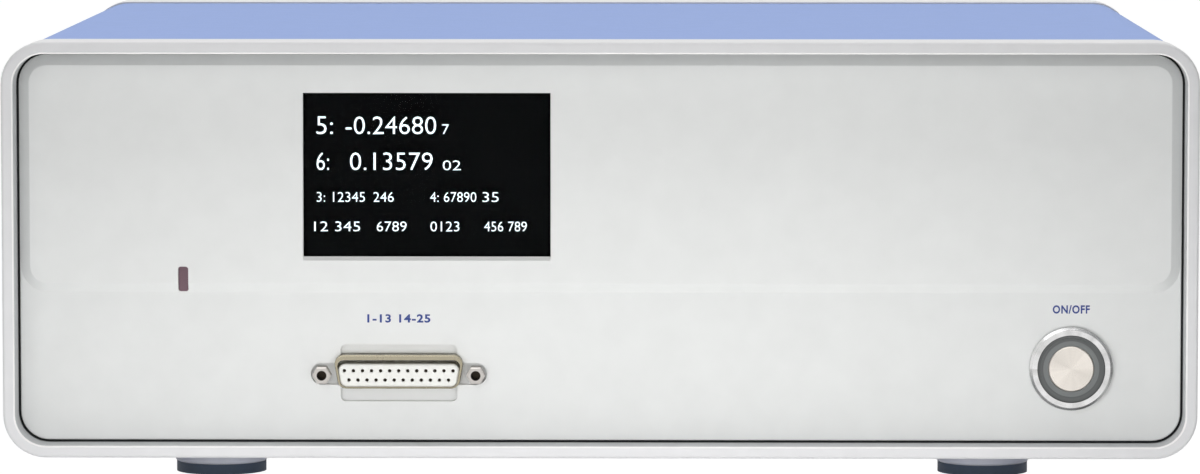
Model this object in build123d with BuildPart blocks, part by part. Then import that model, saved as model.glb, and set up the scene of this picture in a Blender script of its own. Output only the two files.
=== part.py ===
from build123d import *
import os
from math import cos, radians, sin, tan

# A benchtop potentiostat. The front faces -Y, +Z is up, and the origin is the middle of the footprint
# on the surface that it stands on. Every size is in millimetres.

os.makedirs("parts", exist_ok=True)

# Case
case_width = 363.0
case_height = 126.6
case_depth = 305.0
frame_corner = 13.0
frame_wall = 3.65
frame_depth = 20.0
frame_edge_round = 1.0
frame_inner_chamfer = 0.5
tongue_length = 8.0
tongue_root = 4.0
tongue_wall = 2.85
cover_inset = 0.5
cover_thickness = 1.5
cover_clearance = 0.15
cover_end_gap = 0.2
seam_height = 24.0
seam_gap = 0.3
lip_height = 12.0
lip_root = 8.0
lip_thickness = 1.2
lip_end_gap = 1.0
ledge_side_width = 12.0
ledge_edge_width = 5.0
ledge_thickness = 2.5

# Slots and screws in the covers' sides
vent_count = 16
vent_pitch = 8.0
vent_width = 3.0
vent_length = 36.0
vent_z = 78.0
side_screw_pitch = 75.0
side_screw_rise = 7.0
side_screw_sink = 1.3
side_screw_length = 4.4

# Panels
panel_recess = 12.0
panel_thickness = 2.0
panel_gap = 0.6
panel_edge_round = 0.4
field_height = 1.75
field_bevel = 2.9
field_bottom = 49.5
field_rim_round = 0.5
least_corner = 1.0

# Feet
foot_height = 10.0
foot_radius = 14.35
foot_pad_height = 3.2
foot_pad_inset = 0.35
foot_side_inset = 62.5
foot_setback = 54.0
foot_screw_well = 5.0
foot_chamfer = 0.5
foot_floor = 3.0
foot_screw_spare = 3.0

# Threads and fits
m3_radius = 1.5
m3_head_radius = 2.75
m3_head_height = 1.9
m3_nut_flats = 5.5
m3_nut_height = 2.4
m4_radius = 2.0
m4_head_radius = 3.8
m4_head_height = 2.5
thread_clearance = 0.05
hole_clearance = 0.1
fit_gap = 0.1
drive_depth_share = 0.6
recess_tip_share = 0.3
recess_mouth_share = 0.8
recess_depth_share = 0.7

# Tie rails
rail_width = 10.0
rail_height = 12.0
rail_edge_gap = 15.0
rail_side_gap = 0.3
rail_screw_depth = 12.0
rail_screw_tip_gap = 1.0
stud_count = 3
stud_pitch = 23.0

# Screen
window_width = 75.4
window_height = 50.0
window_side_inset = 128.75
window_top_inset = 40.95
window_glass = 1.2
window_web = 1.2
window_rebate = 2.0
window_lower_bevel = 1.2
window_edge_chamfer = 0.3
module_width = 96.0
module_height = 60.0
module_thickness = 3.4
board_thickness = 1.6
screen_board_light_margin = 8.8
screen_board_module_margin = 8.75
screen_board_light_drop = 6.7
screen_board_top_inset = 10.6
screen_stud_x_inset = 3.5
screen_stud_z_inset = 4.0
spacer_radius = 2.5

# Status light
light_side_inset = 54.3
light_z = 63.7
light_width = 3.1
light_height = 7.7
light_corner = 0.8
light_flange = 1.1
light_flange_thickness = 1.0
light_proud = 0.1
emitter_width = 2.8
emitter_height = 5.0

# Cell connector
cell_side_inset = 120.05
cell_z = 34.3
cell_cutout_width = 35.7
cell_cutout_height = 17.5
cell_cutout_corner = 1.6
cell_cutout_rise = 0.6
cell_ear_span = 53.8
cell_ear_height = 6.7
cell_ear_rise = 0.3
cell_plate_width = 76.0
cell_plate_height = 31.0
cell_plate_thickness = 1.5
cell_stud_reach = 33.0
cell_flange_width = 53.0
cell_flange_height = 13.0
cell_flange_thickness = 1.0
cell_face_width = 37.6
cell_face_height = 7.0
cell_face_corner = 2.0
cell_face_setback = 0.2
cell_face_chamfer = 0.4
cell_side_slope = 80.0
cell_mouth_headroom = 1.25
cell_shell_length = 5.9
cell_shell_lower_wall = 0.45
cell_shell_side_wall = 0.7
cell_shell_upper_wall = 1.5
cell_shell_corner = 2.8
cell_shell_round = 0.35
cell_rear_width = 40.0
cell_rear_height = 9.5
cell_rear_length = 8.0
cell_contact_pitch = 2.767
cell_row_spacing = 2.84
cell_upper_contacts = 13
cell_contact_radius = 0.5
cell_hole_radius = 0.55
cell_contact_setback = 1.2
cell_contact_tail = 2.0
cell_screw_pitch = 47.04
cell_screw_flats = 5.0
cell_screw_length = 5.2
cell_screw_shank = 1.4
cell_screw_bore = 1.42
cell_screw_bore_depth = 4.4
cell_screw_tail = 6.0
cell_nut_height = 2.0
cell_flange_corner = 1.5
cell_screw_chamfer = 0.3
cell_ribbon_width = 30.0
cell_ribbon_reach = 66.5
cell_board_width = 58.0
cell_board_height = 28.0

# Power button
button_side_inset = 37.75
button_z = 36.5
button_ring_radius = 12.7
button_ring_height = 2.0
button_ring_chamfer = 0.8
button_barrel_radius = 10.95
button_front_bore = 10.35
button_front_bore_depth = 6.0
button_rear_bore = 8.6
button_cap_radius = 6.9
button_cap_gap = 0.1
button_cap_chamfer = 0.25
button_cap_setback = 0.2
button_cap_flange = 8.2
button_cap_flange_height = 1.5
button_cap_play = 0.2
button_boss_radius = 3.0
button_boss_length = 4.0
button_boss_gap = 1.0
button_well_depth = 3.0
button_travel = 3.0
button_stop_gap = 0.3
light_ring_setback = 0.6
light_ring_step = 0.4
light_ring_step_width = 1.1
button_gasket_height = 0.4
button_gasket_width = 1.1
button_nut_flats = 27.0
button_nut_height = 3.5
button_spring_radius = 4.3
button_spring_wire = 0.35
button_spring_turns = 4.5
button_block_plug = 6.0
button_block_base = 8.0
button_block_radius = 10.5
button_terminal_length = 7.0
button_terminal_pitch = 9.0
button_terminal_width = 2.8
button_terminal_thickness = 0.8

# Mains inlet and fuse drawer
inlet_side_inset = 59.5
inlet_z = 45.0
inlet_flange_width = 50.0
inlet_flange_height = 33.0
inlet_flange_thickness = 2.5
inlet_body_width = 27.6
inlet_body_height = 30.6
inlet_body_depth = 28.0
inlet_mouth_width = 24.0
inlet_mouth_height = 15.6
inlet_mouth_depth = 16.0
inlet_mouth_corner = 4.5
inlet_mouth_drop = 5.2
inlet_screw_reach = 20.0
inlet_screw_spare = 2.0
inlet_flange_corner = 4.0
pin_width = 2.0
pin_height = 4.0
pin_pitch = 7.0
pin_stagger = 2.0
pin_setback = 2.5
pin_tail = 8.0
drawer_width = 21.6
drawer_height = 7.4
drawer_depth = 25.5
drawer_lip = 1.5
drawer_lip_overhang = 0.8
drawer_rise = 8.8
drawer_gap = 0.15
drawer_corner = 1.0
fuse_pocket_end = 2.5
fuse_pocket_wall = 0.5
fuse_radius = 2.6
fuse_length = 20.0
fuse_cap_length = 5.0
fuse_tube_radius = 2.4

# Earth stud
earth_side_inset = 103.5
earth_z = 36.0
earth_radius = 2.5
earth_pitch_radius = 2.24
earth_thread_gap = 0.2
earth_nut_flats = 8.0
earth_nut_height = 4.0
earth_free_length = 7.0
earth_inner_spare = 1.0
earth_chamfer = 0.5

# Data socket
data_board_reach = 45.0
data_width = 12.0
data_height = 10.8
data_length = 18.5
data_wall = 0.8
data_proud = 0.4
data_mouth_depth = 9.0
data_tongue_width = 5.6
data_tongue_height = 3.2
data_tongue_setback = 1.0
data_mouth_chamfer = 1.5

# Fan
fan_side_inset = 71.5
fan_z = 82.0
fan_size = 60.0
fan_depth = 25.0
fan_corner = 4.0
fan_strut_overlap = 2.0
fan_blade_sink = 3.0
fan_bore = 28.5
fan_hole_pitch = 50.0
fan_base_thickness = 2.5
fan_base_radius = 16.0
fan_strut_width = 4.0
fan_hub_radius = 15.0
fan_hub_gap = 0.4
fan_hub_depth = 20.0
fan_hub_wall = 1.5
fan_blade_count = 7
fan_blade_chord = 20.0
fan_blade_thickness = 1.6
fan_blade_angle = 40.0
fan_blade_reach = 26.2
fan_shaft_radius = 1.5
fan_shaft_clearance = 0.04
guard_wire = 0.9
guard_ring_count = 4
guard_ring_step = 6.2
guard_outer_ring = 27.5
guard_eye_radius = 5.0
guard_bar_gap = 0.3
guard_eye_thickness = 1.2
guard_ring_overlap = 0.5

# Main board and what stands on it
main_board_side_inset = 21.5
main_board_transformer_gap = 22.0
main_board_front_inset = 43.5
main_board_rear_inset = 13.5
pillar_height = 8.0
pillar_radius = 3.0
pillar_inset = 8.0
pillar_rear_inset = 30.0
floor_screw_setback = 0.5
sink_side_inset = 35.0
sink_fan_gap = 13.5
sink_base = 5.0
sink_length = 70.0
sink_height = 45.0
sink_fin_count = 8
sink_fin_length = 30.0
sink_fin_thickness = 1.6
transistor_count = 4
transistor_pitch = 17.0
transistor_width = 15.6
transistor_height = 21.0
transistor_thickness = 4.8
transistor_leg_length = 10.0
transistor_leg_count = 3
transistor_leg_pitch = 5.4
transistor_leg_width = 1.2
transistor_leg_thickness = 0.8
relay_board_reach = 45.0
relay_front_inset = 45.0
relay_count = 3
relay_length = 20.0
relay_width = 15.6
relay_height = 15.8
relay_pitch = 24.0
relay_chamfer = 0.5
capacitor_board_reach = 60.0
capacitor_board_rise = 45.0
capacitor_radius = 9.0
capacitor_height = 30.0
capacitor_pitch = 22.0
capacitor_round = 0.8
can_sink_gap = 1.0
can_board_drop = 10.0
can_length = 70.0
can_width = 50.0
can_height = 14.0
can_wall = 0.5
can_corner = 1.0

# Transformer
transformer_side_inset = 83.5
transformer_y = 30.0
transformer_radius = 46.0
transformer_bore = 17.0
transformer_height = 42.0
transformer_round = 9.0
washer_radius = 30.0
washer_thickness = 1.5
bolt_radius = 3.0
bolt_head_radius = 5.5
bolt_head_height = 4.0

# Ribbons and leads
ribbon_thickness = 1.0
ribbon_bend = 6.0
ribbon_gap = 0.3
screen_ribbon_board_reach = 46.0
screen_ribbon_width = 24.0
screen_ribbon_z = 80.0
screen_ribbon_reach = 72.5
lead_radius = 2.6
lead_bend = 9.0
lead_gap = 0.3
lead_floor_rise = 4.0
lead_side_inset = 24.5
lead_front_run = 20.0
lead_front_drop = 42.0
lead_rear_run = 18.0
lead_transformer_reach = 40.0

# Places worked out from the sizes above
front_y = -case_depth / 2
rear_y = case_depth / 2
case_bottom = foot_height
case_top = foot_height + case_height
case_middle = foot_height + case_height / 2
cover_front = front_y + frame_depth + cover_end_gap
cover_length = case_depth - 2 * (frame_depth + cover_end_gap)
tongue_inset = cover_inset + cover_thickness + cover_clearance
floor_z = case_bottom + cover_inset + cover_thickness
floor_under = case_bottom + cover_inset
seam_z = case_bottom + seam_height
panel_face = front_y + panel_recess
panel_back = panel_face + panel_thickness
ledge_setback = panel_recess + panel_thickness
ledge_back = panel_back + ledge_thickness
panel_inset = frame_wall + panel_gap
field_face = panel_face - field_height
rear_face = rear_y - panel_recess
rear_inside = rear_face - panel_thickness
board_top = floor_z + pillar_height + board_thickness
left_side = -case_width / 2
right_side = case_width / 2
foot_spread = right_side - foot_side_inset

# What is in the front panel
window_x = left_side + window_side_inset
window_z = case_top - window_top_inset
light_x = left_side + light_side_inset
cell_x = left_side + cell_side_inset
button_x = right_side - button_side_inset
screen_board_left = light_x - screen_board_light_margin
screen_board_right = window_x + module_width / 2 + screen_board_module_margin
screen_board_bottom = light_z - screen_board_light_drop
screen_board_top = case_top - screen_board_top_inset
screen_board_width = screen_board_right - screen_board_left
screen_board_height = screen_board_top - screen_board_bottom
screen_board_x = (screen_board_left + screen_board_right) / 2
screen_board_z = (screen_board_bottom + screen_board_top) / 2

# What is in the rear panel
inlet_x = right_side - inlet_side_inset
earth_x = right_side - earth_side_inset
fan_x = left_side + fan_side_inset
fan_back = rear_inside
fan_front = fan_back - fan_depth

# What stands on the bottom cover; the main board reaches from the left side to the transformer
transformer_x = right_side - transformer_side_inset
main_board_left = left_side + main_board_side_inset
main_board_right = transformer_x - transformer_radius - main_board_transformer_gap
main_board_front = panel_back + main_board_front_inset
main_board_rear = rear_inside - main_board_rear_inset
main_board_width = main_board_right - main_board_left
main_board_depth = main_board_rear - main_board_front
main_board_x = (main_board_left + main_board_right) / 2
main_board_y = (main_board_front + main_board_rear) / 2
data_x = main_board_x + data_board_reach
sink_x = main_board_left + sink_side_inset
sink_y = fan_front - sink_fan_gap - sink_length / 2
sink_fin_end = sink_x + sink_base / 2 + sink_fin_length
relay_x = main_board_x + relay_board_reach
relay_y = main_board_front + relay_front_inset
capacitor_x = main_board_x + capacitor_board_reach
capacitor_y = main_board_y + capacitor_board_rise
can_x = sink_fin_end + can_sink_gap + can_length / 2
can_y = main_board_y - can_board_drop

# Where the ribbons drop and the lead runs
cell_ribbon_drop_y = panel_back + cell_ribbon_reach
screen_ribbon_x = screen_board_x - screen_ribbon_board_reach
screen_ribbon_drop_y = panel_back + screen_ribbon_reach
lead_side_x = right_side - lead_side_inset


def upright(y):
    """A vertical plane at depth y: x runs across, y runs up, and its normal faces the front."""
    return Plane.XZ.offset(-y)


def case_outline(inset, mode=Mode.ADD):
    """The case's rounded outline, smaller by an inset on every side."""
    with Locations((0, case_middle)):
        RectangleRounded(
            case_width - 2 * inset,
            case_height - 2 * inset,
            max(frame_corner - inset, least_corner),
            mode=mode,
        )


def finish(piece, name):
    """Label a finished piece and write it."""
    piece.label = name
    export_step(piece, f"parts/{name}.step")


def pan_screws(seat, spots, radius, head_radius, head_height, length):
    """Pan-head screws: heads stand on the seat plane and shanks run below it."""
    with BuildPart() as group:
        with BuildSketch(seat):
            with Locations(*spots):
                Circle(head_radius)
        extrude(amount=head_height)
        with BuildSketch(seat):
            with Locations(*spots):
                Circle(radius)
        extrude(amount=-length)
        with BuildSketch(seat.offset(head_height)):
            with Locations(*spots):
                RegularPolygon(radius, 6)
        extrude(amount=-head_height * drive_depth_share, mode=Mode.SUBTRACT)
    return group.part


def sunk_screws(places, radius, head_radius, length):
    """Countersunk screws: each place is a plane whose normal leaves the screw's head."""
    sink = head_radius - radius
    with BuildPart() as group:
        with Locations(*places):
            Cone(radius, head_radius, sink, align=(Align.CENTER, Align.CENTER, Align.MAX))
            Cylinder(radius, length, align=(Align.CENTER, Align.CENTER, Align.MAX))
            Cone(
                radius * recess_tip_share,
                radius * recess_mouth_share,
                sink * recess_depth_share,
                align=(Align.CENTER, Align.CENTER, Align.MAX),
                mode=Mode.SUBTRACT,
            )
    return group.part


# The two cast frames carry the panels on a ledge and the covers on a tongue.
rail_x = case_width / 2 - tongue_inset - tongue_wall - rail_side_gap - rail_width / 2
rail_low_z = case_bottom + rail_edge_gap + rail_height / 2
rail_high_z = case_top - rail_edge_gap - rail_height / 2
rail_spots = [(sx * rail_x, z) for sx in (-1, 1) for z in (rail_low_z, rail_high_z)]
stud_spots = [
    (sx * rail_x, case_middle + (i - (stud_count - 1) / 2) * stud_pitch)
    for sx in (-1, 1)
    for i in range(stud_count)
]


def cast_frame(face_y, inward):
    """A frame whose open face is at face_y; inward is +1 on the front one and -1 on the rear one."""
    with BuildPart() as frame:
        with BuildSketch(upright(face_y)):
            case_outline(0)
            case_outline(frame_wall, Mode.SUBTRACT)
        extrude(amount=-inward * frame_depth)
        open_face = frame.faces().sort_by(Axis.Y)[0 if inward > 0 else -1]
        chamfer(open_face.inner_wires()[0].edges(), frame_inner_chamfer)
        open_face = frame.faces().sort_by(Axis.Y)[0 if inward > 0 else -1]
        fillet(open_face.outer_wire().edges(), frame_edge_round)
        with BuildSketch(upright(face_y + inward * ledge_setback)):
            case_outline(frame_wall / 2)
            with Locations((0, case_middle)):
                Rectangle(
                    case_width - 2 * (frame_wall + ledge_side_width),
                    case_height - 2 * (frame_wall + ledge_edge_width),
                    mode=Mode.SUBTRACT,
                )
        extrude(amount=-inward * ledge_thickness)
        with BuildSketch(upright(face_y + inward * (frame_depth - tongue_root))):
            case_outline(tongue_inset)
            case_outline(tongue_inset + tongue_wall, Mode.SUBTRACT)
        extrude(amount=-inward * (tongue_root + tongue_length))
        with BuildSketch(upright(face_y + inward * ledge_setback)):
            with Locations(*stud_spots):
                Circle(m3_radius + thread_clearance)
        extrude(amount=-inward * ledge_thickness, mode=Mode.SUBTRACT)
        outward = (0, -inward, 0)
        ledge_y = face_y + inward * ledge_setback
        with Locations(*[Plane(origin=(x, ledge_y, z), z_dir=outward) for x, z in rail_spots]):
            CounterSinkHole(m4_radius + thread_clearance, m4_head_radius, depth=ledge_thickness)
    return frame.part


front_frame = cast_frame(front_y, 1)
finish(front_frame, "front_frame")
rear_frame = cast_frame(rear_y, -1)
finish(rear_frame, "rear_frame")

# Tie rails join the two frames behind their ledges.
with BuildPart() as tie_rails:
    with BuildSketch(upright(ledge_back)):
        with Locations(*rail_spots):
            Rectangle(rail_width, rail_height)
    extrude(amount=-(case_depth - 2 * (ledge_setback + ledge_thickness)))
    for end_y, depth in ((ledge_back, -rail_screw_depth), (-ledge_back, rail_screw_depth)):
        with BuildSketch(upright(end_y)):
            with Locations(*rail_spots):
                Circle(m4_radius + thread_clearance)
        extrude(amount=depth, mode=Mode.SUBTRACT)
finish(tie_rails.part, "tie_rails")

rail_screw_places = [
    Plane(origin=(x, side * panel_back, z), z_dir=(0, -side, 0))
    for side in (1, -1)
    for x, z in rail_spots
]
rail_screw_length = ledge_thickness + rail_screw_depth - rail_screw_tip_gap
rail_screws = sunk_screws(rail_screw_places, m4_radius, m4_head_radius - hole_clearance, rail_screw_length)
finish(rail_screws, "rail_screws")

# The blue top cover: an inverted U with slots in its sides.
cover_side_x = case_width / 2 - cover_inset
side_screw_places = [
    Plane(origin=(sx * cover_side_x, y, seam_z + side_screw_rise), z_dir=(sx, 0, 0))
    for sx in (-1, 1)
    for y in (-side_screw_pitch, 0, side_screw_pitch)
]

with BuildPart() as top_cover:
    with BuildSketch(upright(cover_front)):
        case_outline(cover_inset)
        case_outline(cover_inset + cover_thickness, Mode.SUBTRACT)
        with Locations((0, seam_z)):
            Rectangle(case_width, case_height, align=(Align.CENTER, Align.MAX), mode=Mode.SUBTRACT)
    extrude(amount=-cover_length)
    with BuildSketch(Plane.YZ):
        with Locations((0, vent_z)):
            with GridLocations(vent_pitch, 0, vent_count, 1):
                SlotOverall(vent_length, vent_width, rotation=90)
    extrude(amount=case_width, both=True, mode=Mode.SUBTRACT)
    with Locations(*side_screw_places):
        side_hole = m3_radius + thread_clearance
        CounterSinkHole(side_hole, side_hole + side_screw_sink, depth=cover_thickness)
finish(top_cover.part, "top_cover")

# The bottom cover: a tray whose lips stand inside the top cover.
foot_spots = [
    (sx * foot_spread, sy * (case_depth / 2 - foot_setback)) for sx in (-1, 1) for sy in (-1, 1)
]
lip_inset = tongue_inset
pillar_front_y = main_board_y - main_board_depth / 2 + pillar_inset
pillar_rear_y = main_board_y + main_board_depth / 2 - pillar_rear_inset
pillar_spots = [
    (main_board_x + sx * (main_board_width / 2 - pillar_inset), y)
    for sx in (-1, 0, 1)
    for y in (pillar_front_y, (pillar_front_y + pillar_rear_y) / 2, pillar_rear_y)
]

with BuildPart() as bottom_cover:
    with BuildSketch(upright(cover_front)):
        case_outline(cover_inset)
        case_outline(cover_inset + cover_thickness, Mode.SUBTRACT)
        with Locations((0, seam_z - seam_gap)):
            Rectangle(case_width, case_height, align=(Align.CENTER, Align.MIN), mode=Mode.SUBTRACT)
    extrude(amount=-cover_length)
    lip_run = cover_length - 2 * (tongue_length + lip_end_gap)
    with BuildSketch(upright(-lip_run / 2)):
        for sx in (-1, 1):
            with Locations((sx * (case_width / 2 - lip_inset - lip_thickness / 2), seam_z + lip_height)):
                Rectangle(lip_thickness, lip_height + lip_root, align=(Align.CENTER, Align.MAX))
            with Locations((sx * (case_width / 2 - cover_inset - cover_thickness / 2), seam_z - seam_gap)):
                Rectangle(
                    cover_thickness + 2 * (cover_clearance + lip_thickness / 2),
                    lip_root - seam_gap,
                    align=(Align.CENTER, Align.MAX),
                )
        case_outline(cover_inset, Mode.INTERSECT)
    extrude(amount=-lip_run)
    with Locations(*side_screw_places):
        Hole(m3_radius + thread_clearance, depth=side_screw_length + cover_thickness)
    with BuildSketch(Plane.XY.offset(floor_under)):
        with Locations(*foot_spots):
            Circle(m4_radius + thread_clearance)
        with Locations((transformer_x, transformer_y)):
            Circle(bolt_radius + thread_clearance)
        with Locations(*pillar_spots):
            Circle(m3_radius + thread_clearance)
    extrude(amount=cover_thickness, mode=Mode.SUBTRACT)
finish(bottom_cover.part, "bottom_cover")

cover_screws = sunk_screws(side_screw_places, m3_radius, m3_radius + side_screw_sink, side_screw_length)
finish(cover_screws, "cover_screws")

# Four feet: a turned body, a rubber pad under it and one screw through it.
for name, (x, y) in zip(
    ("foot_front_left", "foot_rear_left", "foot_front_right", "foot_rear_right"), foot_spots
):
    with BuildPart() as foot:
        with BuildSketch(Plane.XY.offset(foot_pad_height)):
            with Locations((x, y)):
                Circle(foot_radius)
        extrude(amount=floor_under - foot_pad_height)
        chamfer(foot.edges().filter_by(GeomType.CIRCLE).sort_by(Axis.Z)[0], foot_chamfer)
        with BuildSketch(Plane.XY.offset(foot_pad_height)):
            with Locations((x, y)):
                Circle(foot_screw_well)
        extrude(amount=floor_under - foot_pad_height - foot_floor, mode=Mode.SUBTRACT)
        with BuildSketch(Plane.XY.offset(foot_pad_height)):
            with Locations((x, y)):
                Circle(m4_radius + hole_clearance)
        extrude(amount=floor_under - foot_pad_height, mode=Mode.SUBTRACT)
    finish(foot.part, name)

with BuildPart() as foot_pads:
    with BuildSketch(Plane.XY):
        with Locations(*foot_spots):
            Circle(foot_radius - foot_pad_inset)
            Circle(foot_screw_well, mode=Mode.SUBTRACT)
    extrude(amount=foot_pad_height)
finish(foot_pads.part, "foot_pads")

foot_screw_seat = floor_under - foot_floor
foot_screws = pan_screws(
    Plane(origin=(0, 0, foot_screw_seat), x_dir=(1, 0, 0), z_dir=(0, 0, -1)),
    [(x, -y) for x, y in foot_spots],
    m4_radius,
    m4_head_radius,
    m4_head_height,
    foot_floor + cover_thickness + foot_screw_spare,
)
finish(foot_screws, "foot_screws")


def connector_outline(low, high, width, corner, gap=0.0, mode=Mode.ADD):
    """The connector's D shape from low to high, widest at the top, larger by a gap on every side."""
    height = high - low + 2 * gap
    with BuildSketch(Plane.XY, mode=Mode.PRIVATE) as shape:
        Trapezoid(width + 2 * gap, height, cell_side_slope, rotation=180)
        fillet(shape.vertices(), corner + gap)
    with Locations((cell_x, (low + high) / 2)):
        add(shape.sketch, mode=mode)


# The connector's face, the shell's mouth round it and the shell's outside share one slope.
side_run = 2 / tan(radians(cell_side_slope))
face_low = cell_z - cell_face_height / 2
face_high = cell_z + cell_face_height / 2
mouth_low = face_low - fit_gap
mouth_high = face_high + cell_mouth_headroom
mouth_width = cell_face_width + 2 * fit_gap + cell_mouth_headroom * side_run
shell_low = mouth_low - cell_shell_lower_wall
shell_high = mouth_high + cell_shell_upper_wall
shell_width = mouth_width + 2 * cell_shell_side_wall + cell_shell_upper_wall * side_run


# Front panel: a plate with a raised field, its openings and the studs that hold what is behind it.
field_top_inset = panel_inset + panel_edge_round
field_width = case_width - 2 * field_top_inset
field_tall = case_height - field_top_inset - field_bottom
field_middle = case_top - field_top_inset - field_tall / 2
field_corner = frame_corner - field_top_inset
screen_studs = [
    (
        screen_board_x + sx * (screen_board_width / 2 - screen_stud_x_inset),
        screen_board_z + sz * (screen_board_height / 2 - screen_stud_z_inset),
    )
    for sx in (-1, 1)
    for sz in (-1, 1)
]
cell_studs = [(cell_x + sx * cell_stud_reach, cell_z) for sx in (-1, 1)]
screen_stud_length = module_thickness + board_thickness + m3_nut_height
cell_stud_length = cell_plate_thickness + m3_nut_height
ledge_stud_length = ledge_thickness + m3_nut_height
glass_front = field_face + window_web

with BuildPart() as front_panel:
    with BuildSketch(upright(panel_back)):
        case_outline(panel_inset)
    extrude(amount=panel_thickness)
    fillet(front_panel.faces().sort_by(Axis.Y)[0].outer_wire().edges(), panel_edge_round)
    with BuildSketch(upright(panel_face)):
        with Locations((0, field_middle)):
            RectangleRounded(field_width, field_tall, field_corner)
    with BuildSketch(upright(field_face)):
        with Locations((0, field_middle)):
            RectangleRounded(
                field_width - 2 * field_bevel, field_tall - 2 * field_bevel, field_corner - field_bevel
            )
    loft()
    fillet(front_panel.faces().sort_by(Axis.Y)[0].outer_wire().edges(), field_rim_round)
    with BuildSketch(upright(field_face)):
        with Locations((window_x, window_z)):
            Rectangle(window_width, window_height)
    extrude(amount=-(field_height + panel_thickness), mode=Mode.SUBTRACT)
    chamfer(front_panel.faces().sort_by(Axis.Y)[0].inner_wires()[0].edges(), window_edge_chamfer)
    with BuildSketch(Plane.YZ.offset(window_x)):
        sill = window_z - window_height / 2
        with BuildLine():
            Polyline(
                (field_face, sill),
                (glass_front, sill),
                (field_face, sill - window_lower_bevel),
                close=True,
            )
        make_face()
    extrude(amount=window_width / 2, both=True, mode=Mode.SUBTRACT)
    with BuildSketch(upright(panel_back)):
        with Locations((window_x, window_z)):
            Rectangle(
                window_width + 2 * (window_rebate + fit_gap), window_height + 2 * (window_rebate + fit_gap)
            )
    extrude(amount=panel_back - glass_front, mode=Mode.SUBTRACT)
    with BuildSketch(upright(field_face)):
        with Locations((light_x, light_z)):
            RectangleRounded(light_width, light_height, light_corner)
    extrude(amount=-(field_height + panel_thickness), mode=Mode.SUBTRACT)
    with BuildSketch(upright(panel_face)):
        with Locations((cell_x, cell_z + cell_cutout_rise)):
            RectangleRounded(cell_cutout_width, cell_cutout_height, cell_cutout_corner)
        with Locations((cell_x, cell_z + cell_ear_rise)):
            SlotOverall(cell_ear_span, cell_ear_height)
        connector_outline(shell_low, shell_high, shell_width, cell_shell_corner, fit_gap)
        with Locations((button_x, button_z)):
            Circle(button_barrel_radius + fit_gap)
    extrude(amount=-panel_thickness, mode=Mode.SUBTRACT)
    for spots, length in (
        (screen_studs, screen_stud_length),
        (cell_studs, cell_stud_length),
        (stud_spots, ledge_stud_length),
    ):
        with BuildSketch(upright(panel_back)):
            with Locations(*spots):
                Circle(m3_radius)
        extrude(amount=-length)
finish(front_panel.part, "front_panel")

# All the nuts on the front panel's studs are alike.
with BuildPart() as panel_nuts:
    for spots, seat_y in (
        (screen_studs, panel_back + module_thickness + board_thickness),
        (cell_studs, panel_back + cell_plate_thickness),
        (stud_spots, ledge_back),
    ):
        with BuildSketch(upright(seat_y)):
            with Locations(*spots):
                RegularPolygon(m3_nut_flats / 2, 6, major_radius=False)
                Circle(m3_radius + thread_clearance, mode=Mode.SUBTRACT)
        extrude(amount=-m3_nut_height)
finish(panel_nuts.part, "panel_nuts")

# Screen: a black glass window in the panel's rebate, the module behind it, and its board, which also
# carries the status light's emitter.
with BuildPart() as screen_window:
    with BuildSketch(upright(glass_front + window_glass)):
        with Locations((window_x, window_z)):
            Rectangle(window_width + 2 * window_rebate, window_height + 2 * window_rebate)
    extrude(amount=window_glass)
finish(screen_window.part, "screen_window")

with BuildPart() as screen_module:
    with BuildSketch(upright(panel_back)):
        with Locations((window_x, window_z)):
            Rectangle(module_width, module_height)
    extrude(amount=-module_thickness)
    with BuildSketch(upright(panel_back)):
        with Locations((window_x, window_z)):
            Rectangle(window_width + window_rebate, window_height + window_rebate)
    extrude(amount=panel_back - glass_front - window_glass - fit_gap)
finish(screen_module.part, "screen_module")

with BuildPart() as screen_board:
    with BuildSketch(upright(panel_back + module_thickness)):
        with Locations((screen_board_x, screen_board_z)):
            Rectangle(screen_board_width, screen_board_height)
        with Locations(*screen_studs):
            Circle(m3_radius + hole_clearance, mode=Mode.SUBTRACT)
    extrude(amount=-board_thickness)
    with BuildSketch(upright(panel_back + module_thickness)):
        with Locations((light_x, light_z)):
            Rectangle(emitter_width, emitter_height)
    extrude(amount=module_thickness - light_flange_thickness)
finish(screen_board.part, "screen_board")

with BuildPart() as screen_spacers:
    with BuildSketch(upright(panel_back)):
        with Locations(*screen_studs):
            Circle(spacer_radius)
            Circle(m3_radius + hole_clearance, mode=Mode.SUBTRACT)
    extrude(amount=-module_thickness)
finish(screen_spacers.part, "screen_spacers")

# Status light: a lens in the panel's slot, in front of the emitter on the screen board.
with BuildPart() as status_lens:
    with BuildSketch(upright(panel_back)):
        with Locations((light_x, light_z)):
            RectangleRounded(light_width - fit_gap, light_height - fit_gap, light_corner - fit_gap / 2)
    extrude(amount=panel_thickness + light_proud)
    with BuildSketch(upright(panel_back)):
        with Locations((light_x, light_z)):
            RectangleRounded(light_width + 2 * light_flange, light_height + 2 * light_flange, light_corner)
    extrude(amount=-light_flange_thickness)
finish(status_lens.part, "status_lens")

# Cell connector: 25 contacts in two rows, in a plated shell behind a pale plate.
plate_back = panel_back + cell_plate_thickness
flange_back = plate_back + cell_flange_thickness
shell_front = flange_back - cell_shell_length - cell_flange_thickness
jack_spots = [(cell_x + sx * cell_screw_pitch / 2, cell_z) for sx in (-1, 1)]
cell_board_front = flange_back + cell_rear_length
contact_spots = [
    (cell_x + (i - (count - 1) / 2) * cell_contact_pitch, cell_z + side * cell_row_spacing / 2)
    for side, count in ((1, cell_upper_contacts), (-1, cell_upper_contacts - 1))
    for i in range(count)
]

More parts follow.
